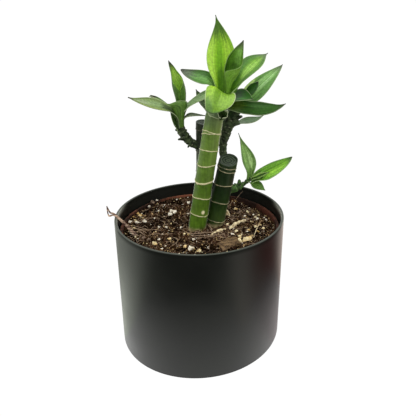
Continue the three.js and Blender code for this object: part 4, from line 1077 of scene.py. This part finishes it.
# Lengths are in millimetres and turns in degrees. A leaf follows its spine, faces the ways given,
# and is rolled as far round as "roll" says at its foot and its tip. "sheath" is the share that
# clasps the shoot, "neck" its width, and "widest" and "taper" shape the blade. The tables
# "facings", "rolls", "widths" and "hollow" hold pairs of a place along the leaf and the value
# there. The spine is the back of the roll, or with a "hollow" of 1 its middle. A twisted blade
# has a "net" of points in its place. A patch has its place across and along, its size both
# ways, its colour and its strength.
LEAVES = {
    "top_leaf_folded": {
        "spine": [(21, -6.2, 204.9), (20, -5.8, 221), (26, -6.3, 230), (31.2, -10.8, 246.9)],
        "facings": [(0, (-1, 0.1, 0)), (0.4, (-1, 0, 0)), (0.66, (-0.4, -1, 0.1)),
                    (1, (-0.5, -1, 0.3))],
        "rolls": [(0, 340), (0.4, 338), (0.66, 170), (0.78, 115), (1, 70)],
        "widths": [(0, 7.5), (0.12, 8.5), (0.22, 13.5), (0.32, 21), (0.45, 28.5), (0.6, 20.5),
                   (0.74, 13), (0.88, 6.5), (1, 0.3)],
        "hollow": [(0, 1), (0.45, 1), (0.62, 0.8), (0.8, 0.1), (1, 0)],
        "width": 20, "wave": 0.2,
        "centre": "#70a936", "margin": "#4d7b1a", "tip": "#4f5d3c", "under": "#6d9b30",
        "patches": [(0.1, 0.75, 0.35, 0.16, "#86b954", 0.6), (0, 0.5, 1.2, 0.1, "#3e6516", 0.6)],
        "edge": 0.15,
    },
    "top_leaf_upright": {
        "spine": [(16.5, -2.5, 202), (15.5, 1, 224), (17.5, 3, 243.5), (12.2, 7, 262.2)],
        "facing": [(0.1, -1, 0), (0, -1, 0.1), (-0.1, -1, 0.2)],
        "width": 21.6, "neck": 15, "roll": (200, 45), "sheath": 0.12, "widest": 0.44,
        "taper": 1.6, "wave": 0.5,
        "centre": "#88bb22", "margin": "#86b825", "tip": "#4a7022", "under": "#7fae2e",
        "tip_from": 0.62, "tip_to": 0.84,
        "patches": [(-0.12, 0.42, 0.24, 0.3, "#6fa915", 0.85),
                    (0.5, 0.52, 0.3, 0.22, "#a3cd3c", 0.6),
                    (-0.7, 0.42, 0.3, 0.42, "#add94b", 0.9),
                    # The dark patch at the foot's right side is a painted shadow, where the folded
                    # leaf shades it.
                    (0.35, 0.16, 0.8, 0.2, "#396606", 0.85),
                    (-0.15, 0.2, 0.3, 0.14, "#52850f", 0.8)],
        "edge": 0.3, "veins": 0.6,
    },
    "top_leaf_right": {
        "spine": [(21.5, -6, 200), (29, -5, 219), (37.5, 2, 228), (51.5, 10, 235.6)],
        "facing": [(-1, -0.3, 0.2), (-0.6, -0.7, 0.7), (-0.4, -0.7, 0.9)],
        "width": 19.2, "neck": 16, "roll": (180, 50), "sheath": 0.18, "widest": 0.62,
        "taper": 1.5, "wave": 0.5,
        "centre": "#77a934", "margin": "#497b22", "tip": "#5b6a50", "under": "#4f7c16",
        "patches": [(0.1, 0.56, 0.42, 0.24, "#9cc95c", 0.8),
                    (-0.7, 0.75, 0.35, 0.25, "#467822", 0.7),
                    (0.75, 0.6, 0.3, 0.3, "#487c23", 0.7), (0, 0.22, 0.8, 0.18, "#538618", 0.7)],
    },
    "top_leaf_left": {
        "spine": [(8.5, -3, 196.5), (15.5, -1, 224), (1.5, 3, 213.8), (-13.5, 8, 222.6)],
        "facing": [(1, -0.2, 0), (0.4, -0.8, 0.5), (0.1, -0.8, 0.6)],
        "width": 13.8, "neck": 14, "roll": (180, 40), "sheath": 0.2, "widest": 0.34,
        "taper": 0.65, "wave": 0.4,
        "centre": "#568839", "margin": "#45752a", "tip": "#5a6552", "under": "#629040",
        "tip_from": 0.7, "tip_to": 0.92,
        "patches": [(0.7, 0.6, 0.4, 0.35, "#3d6924", 0.7), (-0.2, 0.6, 0.3, 0.3, "#6d9e4f", 0.6),
                    (0, 0.35, 0.8, 0.1, "#5d882a", 0.6)],
    },
    "top_leaf_front": {
        "net": [[(10.5, -11, 208), (13.5, -12, 206.5), (17.5, -12, 205), (21.5, -11, 207)],
                [(4, -16, 226), (14.5, -18, 234), (16.5, -19, 206.5), (27.5, -15, 216)],
                [(2.5, -34, 206.5), (7.5, -36, 204.5), (18.5, -37, 207.5), (27, -33, 205)],
                [(4.6, -31, 201.5), (7.5, -33, 198), (12, -34, 199.5), (17, -33, 202.5)]],
        "width": 22,
        "centre": "#759f2b", "margin": "#80a63b", "tip": "#6f9a50", "under": "#476b30",
        "tip_from": 0.86, "tip_to": 1.02,
        "patches": [(0.65, 0.45, 0.3, 0.25, "#8fb73f", 0.9),
                    (0.2, 0.55, 0.2, 0.28, "#608916", 0.8),
                    (-0.4, 0.62, 0.35, 0.25, "#8ab146", 0.8),
                    (-0.85, 0.5, 0.2, 0.2, "#8eb454", 0.7), (0.75, 0.85, 0.5, 0.2, "#5e8540", 0.8),
                    (-0.1, 0.1, 1.1, 0.2, "#4d741d", 0.75),
                    (0.6, 0.28, 0.3, 0.14, "#97c032", 0.8)],
        "edge": 0.8, "veins": 0.5,
    },
    "top_leaf_back_left": {
        "spine": [(7.5, -1, 188.5), (6.5, 3, 198.5), (0.5, 7, 200.5), (-2.6, 12, 207)],
        "facing": [(0.7, -0.7, 0), (0.4, -0.8, 0.4), (0.3, -0.8, 0.4)],
        "width": 9, "neck": 10, "roll": (120, 40), "sheath": 0.15, "widest": 0.4,
        "taper": 1.2, "wave": 0.2,
        "centre": "#5c7a44", "margin": "#48642f", "tip": "#27301c", "under": "#6f8f52",
    },
    "right_leaf_large": {
        "spine": [(29.5, 9.5, 194), (38.5, 10, 202), (51.5, 17, 212), (65.9, 26, 224.8)],
        "facing": [(-0.3, -1, 0.3), (-0.5, -0.8, 0.7), (-0.5, -0.7, 0.8)],
        "width": 17.2, "neck": 14, "roll": (180, 45), "sheath": 0.12, "widest": 0.44,
        "taper": 0.86, "wave": 0.5,
        "centre": "#7fb25b", "margin": "#5c8d3d", "tip": "#5c6f4c", "under": "#7da45d",
        "patches": [(0.05, 0.68, 0.22, 0.25, "#a3cd88", 0.7),
                    (-0.35, 0.6, 0.15, 0.25, "#8fbf6e", 0.6),
                    (0.6, 0.5, 0.35, 0.4, "#5b8f3d", 0.7),
                    (-0.76, 0.42, 0.38, 0.16, "#aecb78", 0.9),
                    (0.3, 0.2, 0.8, 0.15, "#548236", 0.7)],
    },
    "right_leaf_low": {
        "spine": [(19, -2, 195.5), (31, -2, 199.2), (50, -6, 190.5), (63.6, -10, 201.5)],
        "facings": [(0, (-0.4, -0.4, 0.8)), (0.5, (-0.1, -0.6, 0.8)), (1, (0, -0.6, 0.8))],
        "rolls": [(0, 130), (0.25, 80), (0.5, 45), (1, 40)],
        "widths": [(0, 10), (0.14, 14), (0.3, 14), (0.45, 12.6), (0.6, 13.2), (0.78, 9.6),
                   (0.9, 4.6), (1, 0.3)],
        "width": 13.4, "wave": 0.5,
        "centre": "#30581a", "margin": "#294e15", "tip": "#3c4f30", "under": "#40602b",
        "patches": [(-0.4, 0.6, 0.2, 0.3, "#386223", 0.6), (0, 0.14, 1.3, 0.2, "#4a6318", 0.85)],
        "gloss": 0.15,
    },
    "right_leaf_young": {
        "spine": [(32, 6.5, 198), (36, 4.5, 205.5), (43.5, 3.5, 210.5), (44, 3, 215.6)],
        "facing": [(-0.7, -0.6, 0.4), (-0.7, -0.6, 0.4), (-0.7, -0.6, 0.4)],
        "width": 9.5, "neck": 9, "roll": (200, 90), "sheath": 0.2, "widest": 0.5,
        "taper": 1.1, "wave": 0.1,
        "centre": "#2d660e", "margin": "#255809", "tip": "#1d3410", "under": "#2d660e",
        "edge": 0.1,
    },
    "right_leaf_front": {
        "spine": [(22.5, 0, 200.5), (26.5, -3.5, 205), (32.5, -8.5, 206), (38.6, -12.5, 205)],
        "facings": [(0, (0, -0.3, 1)), (0.5, (0, -0.5, 1)), (1, (-0.1, -0.5, 0.9))],
        "rolls": [(0, 150), (0.4, 80), (1, 50)],
        "widths": [(0, 12), (0.3, 18), (0.55, 16.5), (0.8, 9), (1, 0.3)],
        "width": 12, "wave": 0.3,
        "centre": "#275b12", "margin": "#23530f", "tip": "#31511f", "under": "#306119",
        "patches": [(0.2, 0.6, 0.2, 0.3, "#397b1f", 0.7)],
        "edge": 0.45,
    },
    "right_leaf_small": {
        "spine": [(27.5, 9.5, 179.5), (35.5, 12, 183), (42.5, 17, 180), (51.9, 24, 183.9)],
        "facing": [(-0.3, -0.3, 1), (0, -0.4, 0.9), (0, -0.5, 0.8)],
        "width": 8.6, "neck": 4, "roll": (90, 50), "sheath": 0.1, "widest": 0.42,
        "taper": 1.3, "wave": 0.2,
        "centre": "#68845d", "margin": "#506a47", "tip": "#5f7454", "under": "#748b69",
        "patches": [(0, 0.25, 0.8, 0.12, "#8a9d7f", 0.7)],
        "edge": 0.5,
    },
    "left_leaf_upright": {
        "spine": [(-16, 9, 185.5), (-10.5, 9, 203.5), (-17.8, 8, 217), (-22.2, 6, 229.3)],
        "facings": [(0, (0, -1, 0)), (0.45, (0.1, -1, 0)), (0.75, (0.6, -1, 0.2)),
                    (1, (0.6, -1, 0.3))],
        "rolls": [(0, 352), (0.44, 352), (0.54, 290), (0.64, 200), (0.76, 140), (1, 80)],
        "widths": [(0, 14), (0.25, 22), (0.44, 27.5), (0.54, 22.5), (0.64, 13.6), (0.76, 7),
                   (0.87, 4), (1, 0.3)],
        "hollow": [(0, 1), (0.45, 1), (0.7, 0.5), (0.9, 0), (1, 0)],
        "width": 16, "wave": 0.2,
        "centre": "#a6d24c", "margin": "#7fae3c", "tip": "#38422a", "under": "#4a7026",
        "tip_from": 0.76, "tip_to": 0.95,
        "patches": [(0.2, 0.6, 0.7, 0.14, "#b6e25e", 0.8),
                    (-0.7, 0.82, 0.4, 0.12, "#6d8f4a", 0.5)],
        "edge": 0.0,
    },
    "left_leaf_level": {
        "spine": [(-17.5, 6, 180), (-16, 2, 198.5), (-29.5, -6, 196), (-49.8, -14, 206.2)],
        "facing": [(1, -0.2, 0.2), (0.3, -0.6, 0.9), (0.1, -0.6, 0.9)],
        "width": 11, "neck": 10, "roll": (170, 55), "sheath": 0.25, "widest": 0.62,
        "taper": 1.5, "wave": 0.3,
        "centre": "#7b9357", "margin": "#748b4d", "tip": "#5f6248", "under": "#485a35",
        "tip_from": 0.9, "tip_to": 1.0,
        "patches": [(0, 0.85, 0.5, 0.1, "#98a384", 0.6), (0.2, 0.62, 0.3, 0.2, "#8da774", 0.6),
                    (0, 0.36, 1.2, 0.17, "#445633", 0.9), (-0.8, 0.7, 0.25, 0.3, "#8f9f47", 0.6)],
        "edge": 0.4,
    },
    "left_leaf_curled": {
        "spine": [(-15, 3, 179.5), (-19.5, 1.5, 190), (-21.5, 5, 197.5), (-37.5, 14, 201)],
        "facings": [(0, (1, 0.3, 0)), (0.4, (1, 0.3, 0)), (0.58, (0.6, 0.4, 0.9)),
                    (1, (0, -0.3, 1))],
        "rolls": [(0, 300), (0.42, 290), (0.56, 170), (0.7, 120), (1, 160)],
        "widths": [(0, 9), (0.2, 18), (0.42, 36), (0.5, 25), (0.58, 9), (0.7, 5), (0.9, 4.4),
                   (1, 2.6)],
        "width": 20, "wave": 0.1,
        "centre": "#54782e", "margin": "#54782e", "tip": "#241f10", "under": "#52742a",
        "tip_from": 0.86, "tip_to": 0.94,
        "edge": 0.6,
    },
    "left_leaf_inner": {
        "spine": [(-13.5, 5, 183.5), (-12.5, 4, 197.5), (-4, 1, 198.5), (10.5, -3, 209)],
        "facing": [(-1, -0.2, 0.2), (-0.5, -0.5, 0.9), (-0.3, -0.5, 0.9)],
        "rolls": [(0, 170), (0.4, 110), (1, 60)],
        "widths": [(0, 6), (0.25, 6), (0.45, 5.6), (0.7, 8.5), (0.85, 10), (1, 6)],
        "width": 10, "wave": 0.2,
        "centre": "#7e9a67", "margin": "#678653", "tip": "#7ba352", "under": "#678257",
        "edge": 0.5,
    },
    "left_leaf_tucked": {
        "spine": [(-17.2, 4, 177), (-18.8, 3, 182), (-20.4, 2, 187), (-21.6, 1.5, 192)],
        "facing": [(1, -0.2, 0.2), (0.9, -0.5, 0.2), (0.9, -0.5, 0.2)],
        "width": 6, "neck": 5, "roll": (120, 60), "sheath": 0.15, "widest": 0.4,
        "taper": 1.2, "wave": 0.1,
        "centre": "#4c6a34", "margin": "#3a5424", "tip": "#2c3d1e", "under": "#4a6430",
    },
    "left_leaf_small": {
        "spine": [(-12.5, 5, 183.5), (-11, 3, 189.5), (-6, 1, 190), (4.5, 2, 189)],
        "facing": [(-1, 0.3, 0.3), (-0.2, -0.4, 1), (0.1, -0.4, 1)],
        "rolls": [(0, 120), (1, 60)],
        "widths": [(0, 4), (0.25, 4.4), (0.5, 5.4), (0.75, 3.6), (1, 0.6)],
        "width": 5, "wave": 0.2,
        "centre": "#6c7860", "margin": "#3f4c34", "tip": "#3a4630", "under": "#4a563c",
    },
    "small_leaf_upright": {
        "spine": [(39.5, 7, 133.5), (43.5, 9, 148.5), (36, 11, 156.5), (30.5, 14, 171.8)],
        "facing": [(-0.3, -1, 0), (-0.2, -1, 0.1), (-0.3, -1, 0.1)],
        "width": 11.2, "neck": 8, "roll": (200, 50), "sheath": 0.12, "widest": 0.38,
        "taper": 1.7, "wave": 0.3,
        "centre": "#9dca6d", "margin": "#6e984c", "tip": "#56684a", "under": "#8ab662",
        "patches": [(0.2, 0.42, 0.3, 0.22, "#c6ea99", 0.7), (0, 0.14, 1, 0.12, "#5a802f", 0.7)],
    },
    "small_leaf_right": {
        "spine": [(41.5, 3.5, 132.5), (53, 2, 143.5), (65.5, -3, 148), (70.9, -9, 158.9)],
        "facing": [(-0.5, -0.5, 0.8), (-0.4, -0.7, 0.8), (-0.4, -0.7, 0.8)],
        "width": 13.8, "neck": 8, "roll": (180, 45), "sheath": 0.12, "widest": 0.3,
        "taper": 0.65, "wave": 0.4,
        "centre": "#7eb834", "margin": "#5e9a2a", "tip": "#4a6e34", "under": "#7aa94a",
        "patches": [(0.3, 0.45, 0.25, 0.3, "#a3dc4a", 0.8),
                    (-0.35, 0.5, 0.12, 0.3, "#51821f", 0.7), (0.7, 0.7, 0.2, 0.3, "#a1d950", 0.6),
                    (0, 0.16, 1, 0.12, "#48701e", 0.7)],
        "edge": 0.5,
    },
    "small_leaf_rolled": {
        "spine": [(41.5, 2.2, 135.8), (45, 0.5, 139), (50, 0, 141.5), (54.6, -0.5, 143.2)],
        "facing": [(-0.4, -0.6, 0.8), (-0.4, -0.7, 0.8), (-0.4, -0.7, 0.8)],
        "width": 5, "neck": 5, "roll": (220, 120), "sheath": 0.2, "widest": 0.4,
        "taper": 1.2, "wave": 0.1,
        "centre": "#2c4d12", "margin": "#8ab248", "tip": "#5d8a2c", "under": "#5f8a34",
        "edge": 0.25,
    },
    "small_leaf_drooping": {
        "spine": [(40.4, 2.3, 133.9), (42.8, -0.7, 133.6), (47, -4, 131.8), (51, -7, 130.3)],
        "facing": [(-0.2, -0.2, 1), (0.1, -0.6, 0.8), (0.1, -0.7, 0.7)],
        "width": 8.6, "neck": 6, "roll": (120, 50), "sheath": 0.12, "widest": 0.42,
        "taper": 1.2, "wave": 0.2,
        "centre": "#4f732a", "margin": "#3c611f", "tip": "#466a2a", "under": "#476d27",
    },
}


def eased(table, along):
    """The value at a place along the leaf, on a smooth curve through a table of (place, value)."""
    row = 0
    while row < len(table) - 2 and along > table[row + 1][0]:
        row += 1
    rows = [table[min(max(row + step, 0), len(table) - 1)] for step in (-1, 0, 1, 2)]
    places = [place for place, _ in rows]
    values = [Vector(value) if isinstance(value, tuple) else value for _, value in rows]
    slope_in = (values[2] - values[0]) / (places[2] - places[0])
    slope_out = (values[3] - values[1]) / (places[3] - places[1])
    length = places[2] - places[1]
    at_start, leaving, at_end, arriving = curve_shares((along - places[1]) / length)
    return (values[1] * at_start + slope_in * (length * leaving)
            + values[2] * at_end + slope_out * (length * arriving))


# Half of the narrowest width, in millimetres.
NARROWEST = 0.12


def leaf_half_width(leaf, along):
    """Half the leaf's width laid flat: the sheath's neck runs out into a lance-shaped blade."""
    if "widths" in leaf:
        return max(eased(leaf["widths"], along) / 2, NARROWEST) * 0.001
    blade = max(0, (along - leaf["sheath"] / 2) / (1 - leaf["sheath"] / 2))
    widest, taper = leaf["widest"], leaf["taper"]
    rise = taper * widest / (1 - widest)
    lance = (blade / widest) ** rise * ((1 - blade) / (1 - widest)) ** taper
    neck = 1 - smoothstep(leaf["sheath"] * 0.6, leaf["sheath"] + 0.35, along)
    width = ((lance * leaf["width"] / 2) ** 3 + (neck * leaf["neck"] / 2) ** 3) ** (1 / 3)
    return max(width, NARROWEST) * 0.001


def net_point(net, u, v):
    """A point of the smooth sheet that a net of 4 x 4 points holds."""
    rows = [bezier(row, u)[0] * 1000 for row in net]
    return bezier(rows, v)[0]


def leaf_point(leaf, u, v):
    """A point of the leaf's middle layer, u across it and v along it."""
    if "net" in leaf:
        return net_point(leaf["net"], 1 - u, v)
    centre, tangent = bezier(leaf["spine"], v)
    if "facings" in leaf:
        facing = eased(leaf["facings"], v)
    else:
        first, middle, last = (Vector(way) for way in leaf["facing"])
        facing = first * (1 - v) ** 2 + middle * 2 * (1 - v) * v + last * v ** 2
    facing = (facing - tangent * facing.dot(tangent)).normalized()
    side = tangent.cross(facing)
    across = 2 * u - 1
    if "rolls" in leaf:
        roll = math.radians(eased(leaf["rolls"], v))
        hollow = eased(leaf["hollow"], v) if "hollow" in leaf else 0
    else:
        opened = smoothstep(leaf["sheath"] * 0.5, leaf["sheath"] + 0.25, v)
        roll = math.radians(leaf["roll"][0] + (leaf["roll"][1] - leaf["roll"][0]) * opened)
        hollow = 0
    radius = 2 * leaf_half_width(leaf, v) / roll
    ripple = leaf["wave"] * 0.001 * across ** 2 * math.sin(7 * v + 2.2 * across)
    turn = across * roll / 2
    return centre + side * radius * math.sin(turn) + facing * (
        radius * (1 - math.cos(turn) - hollow) + ripple)


def leaf_piece(name, leaf):
    """The leaf as one thin body. The second half of its points is its lower side."""
    blade = thin_sheet(name, 22, 64, lambda u, v: leaf_point(leaf, u, v), LEAF_THICKNESS)
    count = len(blade.data.vertices)
    mark(blade, "under", [float(index >= count / 2) for index in range(count)])
    return blade


def leaf_skin(name, leaf):
    """Waxy leaf: long soft streaks from centre to margin, dark tip, a pale painted highlight on its
    edge.
    """
    material, tree, place = new_material(name)
    unwrapped = add_node(tree, "TexCoord").outputs["UV"]
    spot = add_node(tree, "SeparateXYZ", {0: unwrapped}).outputs
    across = add_node(tree, "MapRange", {"Value": spot["X"], "To Min": -1, "To Max": 1})
    aside = add_node(tree, "Math", {0: across}, operation="ABSOLUTE")
    # A number from its name gives each leaf streaks of its own.
    own = len(name) + ord(name[-7])
    lay = add_node(tree, "CombineXYZ", {0: across, 1: spot["Y"], 2: own})
    wide = add_node(tree, "Mapping", {"Vector": lay, "Scale": (4.5, 1.1, 1)})
    streaks = add_node(tree, "TexNoise", {"Vector": wide, "Scale": 1, "Detail": 3})
    shift = add_node(tree, "MapRange", {"Value": streaks, "From Min": 0.3, "From Max": 0.7,
                                        "To Min": -0.35, "To Max": 0.35})
    reach = add_node(tree, "Math", {0: aside, 1: shift}, operation="ADD")
    colour = laid_over(tree, leaf["centre"], leaf["margin"], reach, 0.35, 0.95,
                       way="SMOOTHSTEP")
    for aside_at, along_at, width, length, shade, strength in leaf.get("patches", []):
        local = add_node(tree, "Mapping", {
            "Vector": lay, "Location": (aside_at, along_at, own), "Scale": (width, length, 1)},
            vector_type="TEXTURE")
        away = add_node(tree, "VectorMath", {0: local}, operation="LENGTH")
        blurred = add_node(tree, "Math", {0: shift, 1: 1.1, 2: away}, operation="MULTIPLY_ADD")
        colour = laid_over(tree, colour, shade, blurred, 1.25, 0.6, strength, "SMOOTHSTEP")
    tip_reach = add_node(tree, "Math", {0: shift, 1: 0.22, 2: spot["Y"]},
                         operation="MULTIPLY_ADD")
    tip = add_node(tree, "MapRange", {
        "Value": tip_reach, "From Min": leaf.get("tip_from", 0.78),
        "From Max": leaf.get("tip_to", 0.98)}, interpolation_type="SMOOTHSTEP")
    upper = add_node(tree, "Mix", {0: tip, 6: colour, 7: leaf["tip"]})
    lower = add_node(tree, "Mix", {0: tip, 6: leaf["under"], 7: leaf["tip"]})
    under = add_node(tree, "Attribute", attribute_name="under").outputs["Fac"]
    colour = add_node(tree, "Mix", {0: under, 6: upper, 7: lower})
    fine = add_node(tree, "Mapping", {"Vector": lay, "Scale": (leaf["width"] * 0.8, 1.5, 1)})
    veins = add_node(tree, "TexNoise", {"Vector": fine, "Scale": 1, "Detail": 3})
    contrast = leaf.get("veins", 1)
    colour = shaded(tree, colour, veins, 0.3, 0.7, 1 - 0.45 * contrast, 1 + 0.42 * contrast)
    grain = add_node(tree, "TexNoise", {"Vector": place, "Scale": 620, "Detail": 3,
                                        "Roughness": 0.7})
    colour = shaded(tree, colour, grain, 0.35, 0.65, 0.8, 1.22)
    colour = laid_over(tree, colour, "#3a3c30", spot["Y"], 0.94, 0.99, 0.8)
    # A pale painted highlight runs along the leaf's thin edge.
    edge_highlight_from = 1 - 1.1 / leaf["width"]
    colour = laid_over(tree, colour, "#bccb98", aside, edge_highlight_from, edge_highlight_from + 0.3 / leaf["width"],
                       leaf.get("edge", 0.35))
    relief = add_node(tree, "Bump", {"Height": veins, "Strength": 0.3, "Distance": 0.0003})
    wax = add_node(tree, "BsdfPrincipled", {
        "Base Color": colour, "Roughness": 0.42, "IOR": 1.42,
        "Specular IOR Level": leaf.get("gloss", 0.3), "Normal": relief})
    add_node(tree, "OutputMaterial", {0: wax})
    return material


STRIPED = ("top_leaf_upright", "top_leaf_right", "top_leaf_front", "right_leaf_large",
           "left_leaf_upright", "left_leaf_level", "small_leaf_upright", "small_leaf_right")
for name, leaf in LEAVES.items():
    finish_piece(leaf_piece("grown_" + name, leaf), leaf_skin(name + "_skin", leaf),
                 "striped_leaf" if name in STRIPED else "green_leaf", name)

# Stage
# A wide white floor and backdrop, even white light from all round with a little more from the
# upper left, and black cards that only the glossy pot mirrors, which keep its front dark.
bpy.ops.mesh.primitive_plane_add(size=18, location=(0, 0, 0))


def put_up(name, material, *passed_by):
    """Names the new stage piece and gives it its material and the rays that pass it by."""
    piece = bpy.context.object
    piece.name = name
    piece.data.materials.append(material)
    for kind in passed_by:
        setattr(piece, "visible_" + kind, False)


def lit_board(name, colour, strength):
    """A material that gives light of its own."""
    material, tree, _ = new_material(name)
    glow = add_node(tree, "Emission", {"Color": colour, "Strength": strength})
    add_node(tree, "OutputMaterial", {0: glow})
    return material


white_paper = lit_board("lit_white_paper", "#ffffff", 1.03)
put_up("studio_floor", white_paper, "diffuse", "glossy", "shadow")

bpy.ops.mesh.primitive_uv_sphere_add(segments=48, ring_count=24, radius=9.5)
put_up("white_backdrop", white_paper, "diffuse", "shadow")

# Cards that the camera doesn't see: name, centre, width and depth in metres, turn in degrees,
# colour, brightness, and the rays that pass it by.
CARDS = [
    ("floor_bounce", (0, 0, -0.001), 8, 0, "#ffffff", 0.5, ("camera", "shadow")),
    ("front_card", (0.1, -0.8, 0.72), 1.4, 90, "#000000", 0.0, ("camera", "shadow", "diffuse")),
]
for name, spot, size, tilt, hue, brightness, passed_by in CARDS:
    bpy.ops.mesh.primitive_plane_add(size=size, location=spot,
                                     rotation=(math.radians(tilt), 0, 0))
    put_up(name, lit_board(name + "_board", hue, brightness), *passed_by)

# The floor as the glossy pot mirrors it: bright beside the pot and close to its foot, and dark
# in front, where the photographer stands in the light. Each entry is a direction in degrees
# from the front, left negative, with the colour, the brightness and that of the pot's foot.
MIRRORED = [
    (-180, "#f4faec", 1.3, 1.25), (-140, "#f4faec", 1.0, 1.25), (-123, "#f4faec", 0.8, 1.2),
    (-103, "#f4faec", 1.4, 1.15), (-79, "#f4faec", 1.35, 1.15), (-62, "#f4faec", 0.3, 1.2),
    (-48, "#f6fbf0", 0, 1.2), (12, "#f6fbf0", 0, 1.2), (28, "#f6fbf0", 0.35, 1.25),
    (42, "#fff8ec", 1.2, 1.3), (56, "#ffeee4", 0.7, 1.25), (68, "#c83a48", 0.45, 1.1),
    (94, "#c83a48", 0.4, 0.95), (105, "#ffd8cc", 0.35, 1.0), (118, "#ffece0", 1.2, 1.15),
    (135, "#fff0e4", 1.8, 1.2), (180, "#fff0e4", 1.4, 1.2),
]
bpy.ops.mesh.primitive_plane_add(size=6, location=(0, 0, 0.001))
graded, tree, place = new_material("graded_white_board")
spot = add_node(tree, "SeparateXYZ", {0: place}).outputs
forward = add_node(tree, "Math", {0: spot["Y"], 1: -1}, operation="MULTIPLY")
way = add_node(tree, "Math", {0: spot["X"], 1: forward}, operation="ARCTAN2")
flat = add_node(tree, "CombineXYZ", {0: spot["X"], 1: spot["Y"]})
reach = add_node(tree, "VectorMath", {0: flat}, operation="LENGTH")
far, foot = "#000000", "#000000"
before = MIRRORED[0][0]
for direction, hue, brightness, foot_brightness in MIRRORED:
    share = add_node(tree, "MapRange", {
        "Value": way, "From Min": math.radians(before) - 0.001,
        "From Max": math.radians(direction)})
    hue = linear(hue)[:3]
    light = [channel * brightness for channel in hue] + [1]
    whiter = [(0.85 + 0.15 * channel) * foot_brightness for channel in hue] + [1]
    far = add_node(tree, "Mix", {0: share, 6: far, 7: light})
    foot = add_node(tree, "Mix", {0: share, 6: foot, 7: whiter})
    before = direction
near = add_node(tree, "MapRange", {"Value": reach, "From Min": 0.2, "From Max": 0.07},
                interpolation_type="SMOOTHSTEP")
foot = add_node(tree, "Mix", {0: 1.0, 6: foot, 7: near}, blend_type="MULTIPLY")
shade = add_node(tree, "Mix", {0: 1.0, 6: far, 7: foot}, blend_type="LIGHTEN")
glow = add_node(tree, "Emission", {"Color": shade, "Strength": 1})
add_node(tree, "OutputMaterial", {0: glow})
put_up("mirrored_floor", graded, "camera", "diffuse", "shadow")

world = bpy.data.worlds.new("white_studio")
world.use_nodes = True
world.node_tree.nodes["Background"].inputs["Color"].default_value = (1, 1, 1, 1)
world.node_tree.nodes["Background"].inputs["Strength"].default_value = 0.9
bpy.context.scene.world = world

# Soft boxes: name, place, width and height in metres, power in watts. All face the plant.
PLANT_MIDDLE = Vector((0, 0, 0.12))
SOFT_BOXES = [
    ("left_window", (-0.75, -0.15, 0.45), 0.7, 0.9, 0.6),
    ("right_window", (0.8, -0.35, 0.5), 0.6, 0.8, 1.4),
    ("overhead_soft_box", (-0.1, -0.4, 1.1), 0.6, 0.6, 3.6),
]
for name, spot, width, height, power in SOFT_BOXES:
    bpy.ops.object.light_add(type="AREA", location=spot)
    lamp = bpy.context.object
    lamp.name = name
    lamp.data.shape = "RECTANGLE"
    lamp.data.size, lamp.data.size_y = width, height
    lamp.data.energy = power
    lamp.visible_camera = False
    lamp.rotation_euler = (PLANT_MIDDLE - Vector(spot)).to_track_quat("-Z", "Y").to_euler()

# The camera stands in front and a little above, turned as the photograph's was. The frame is
# shifted because the photograph is cropped off centre. Lengths in the picture are in pixels.
PICTURE_SIDE = 416
FOCAL_LENGTH = 500
OFF_CENTRE = (-64, -36)
SENSOR_WIDTH = 36
bpy.ops.object.camera_add(location=(0, -0.3716, 0.2856),
                          rotation=[math.radians(turn) for turn in (69.243, -2.197, -7.877)])
camera = bpy.context.object
camera.data.sensor_width = SENSOR_WIDTH
camera.data.lens = SENSOR_WIDTH * FOCAL_LENGTH / PICTURE_SIDE
camera.data.shift_x = OFF_CENTRE[0] / PICTURE_SIDE
camera.data.shift_y = OFF_CENTRE[1] / PICTURE_SIDE
camera.data.clip_start = 0.01
bpy.context.scene.camera = camera
bpy.context.scene.view_settings.view_transform = "Standard"
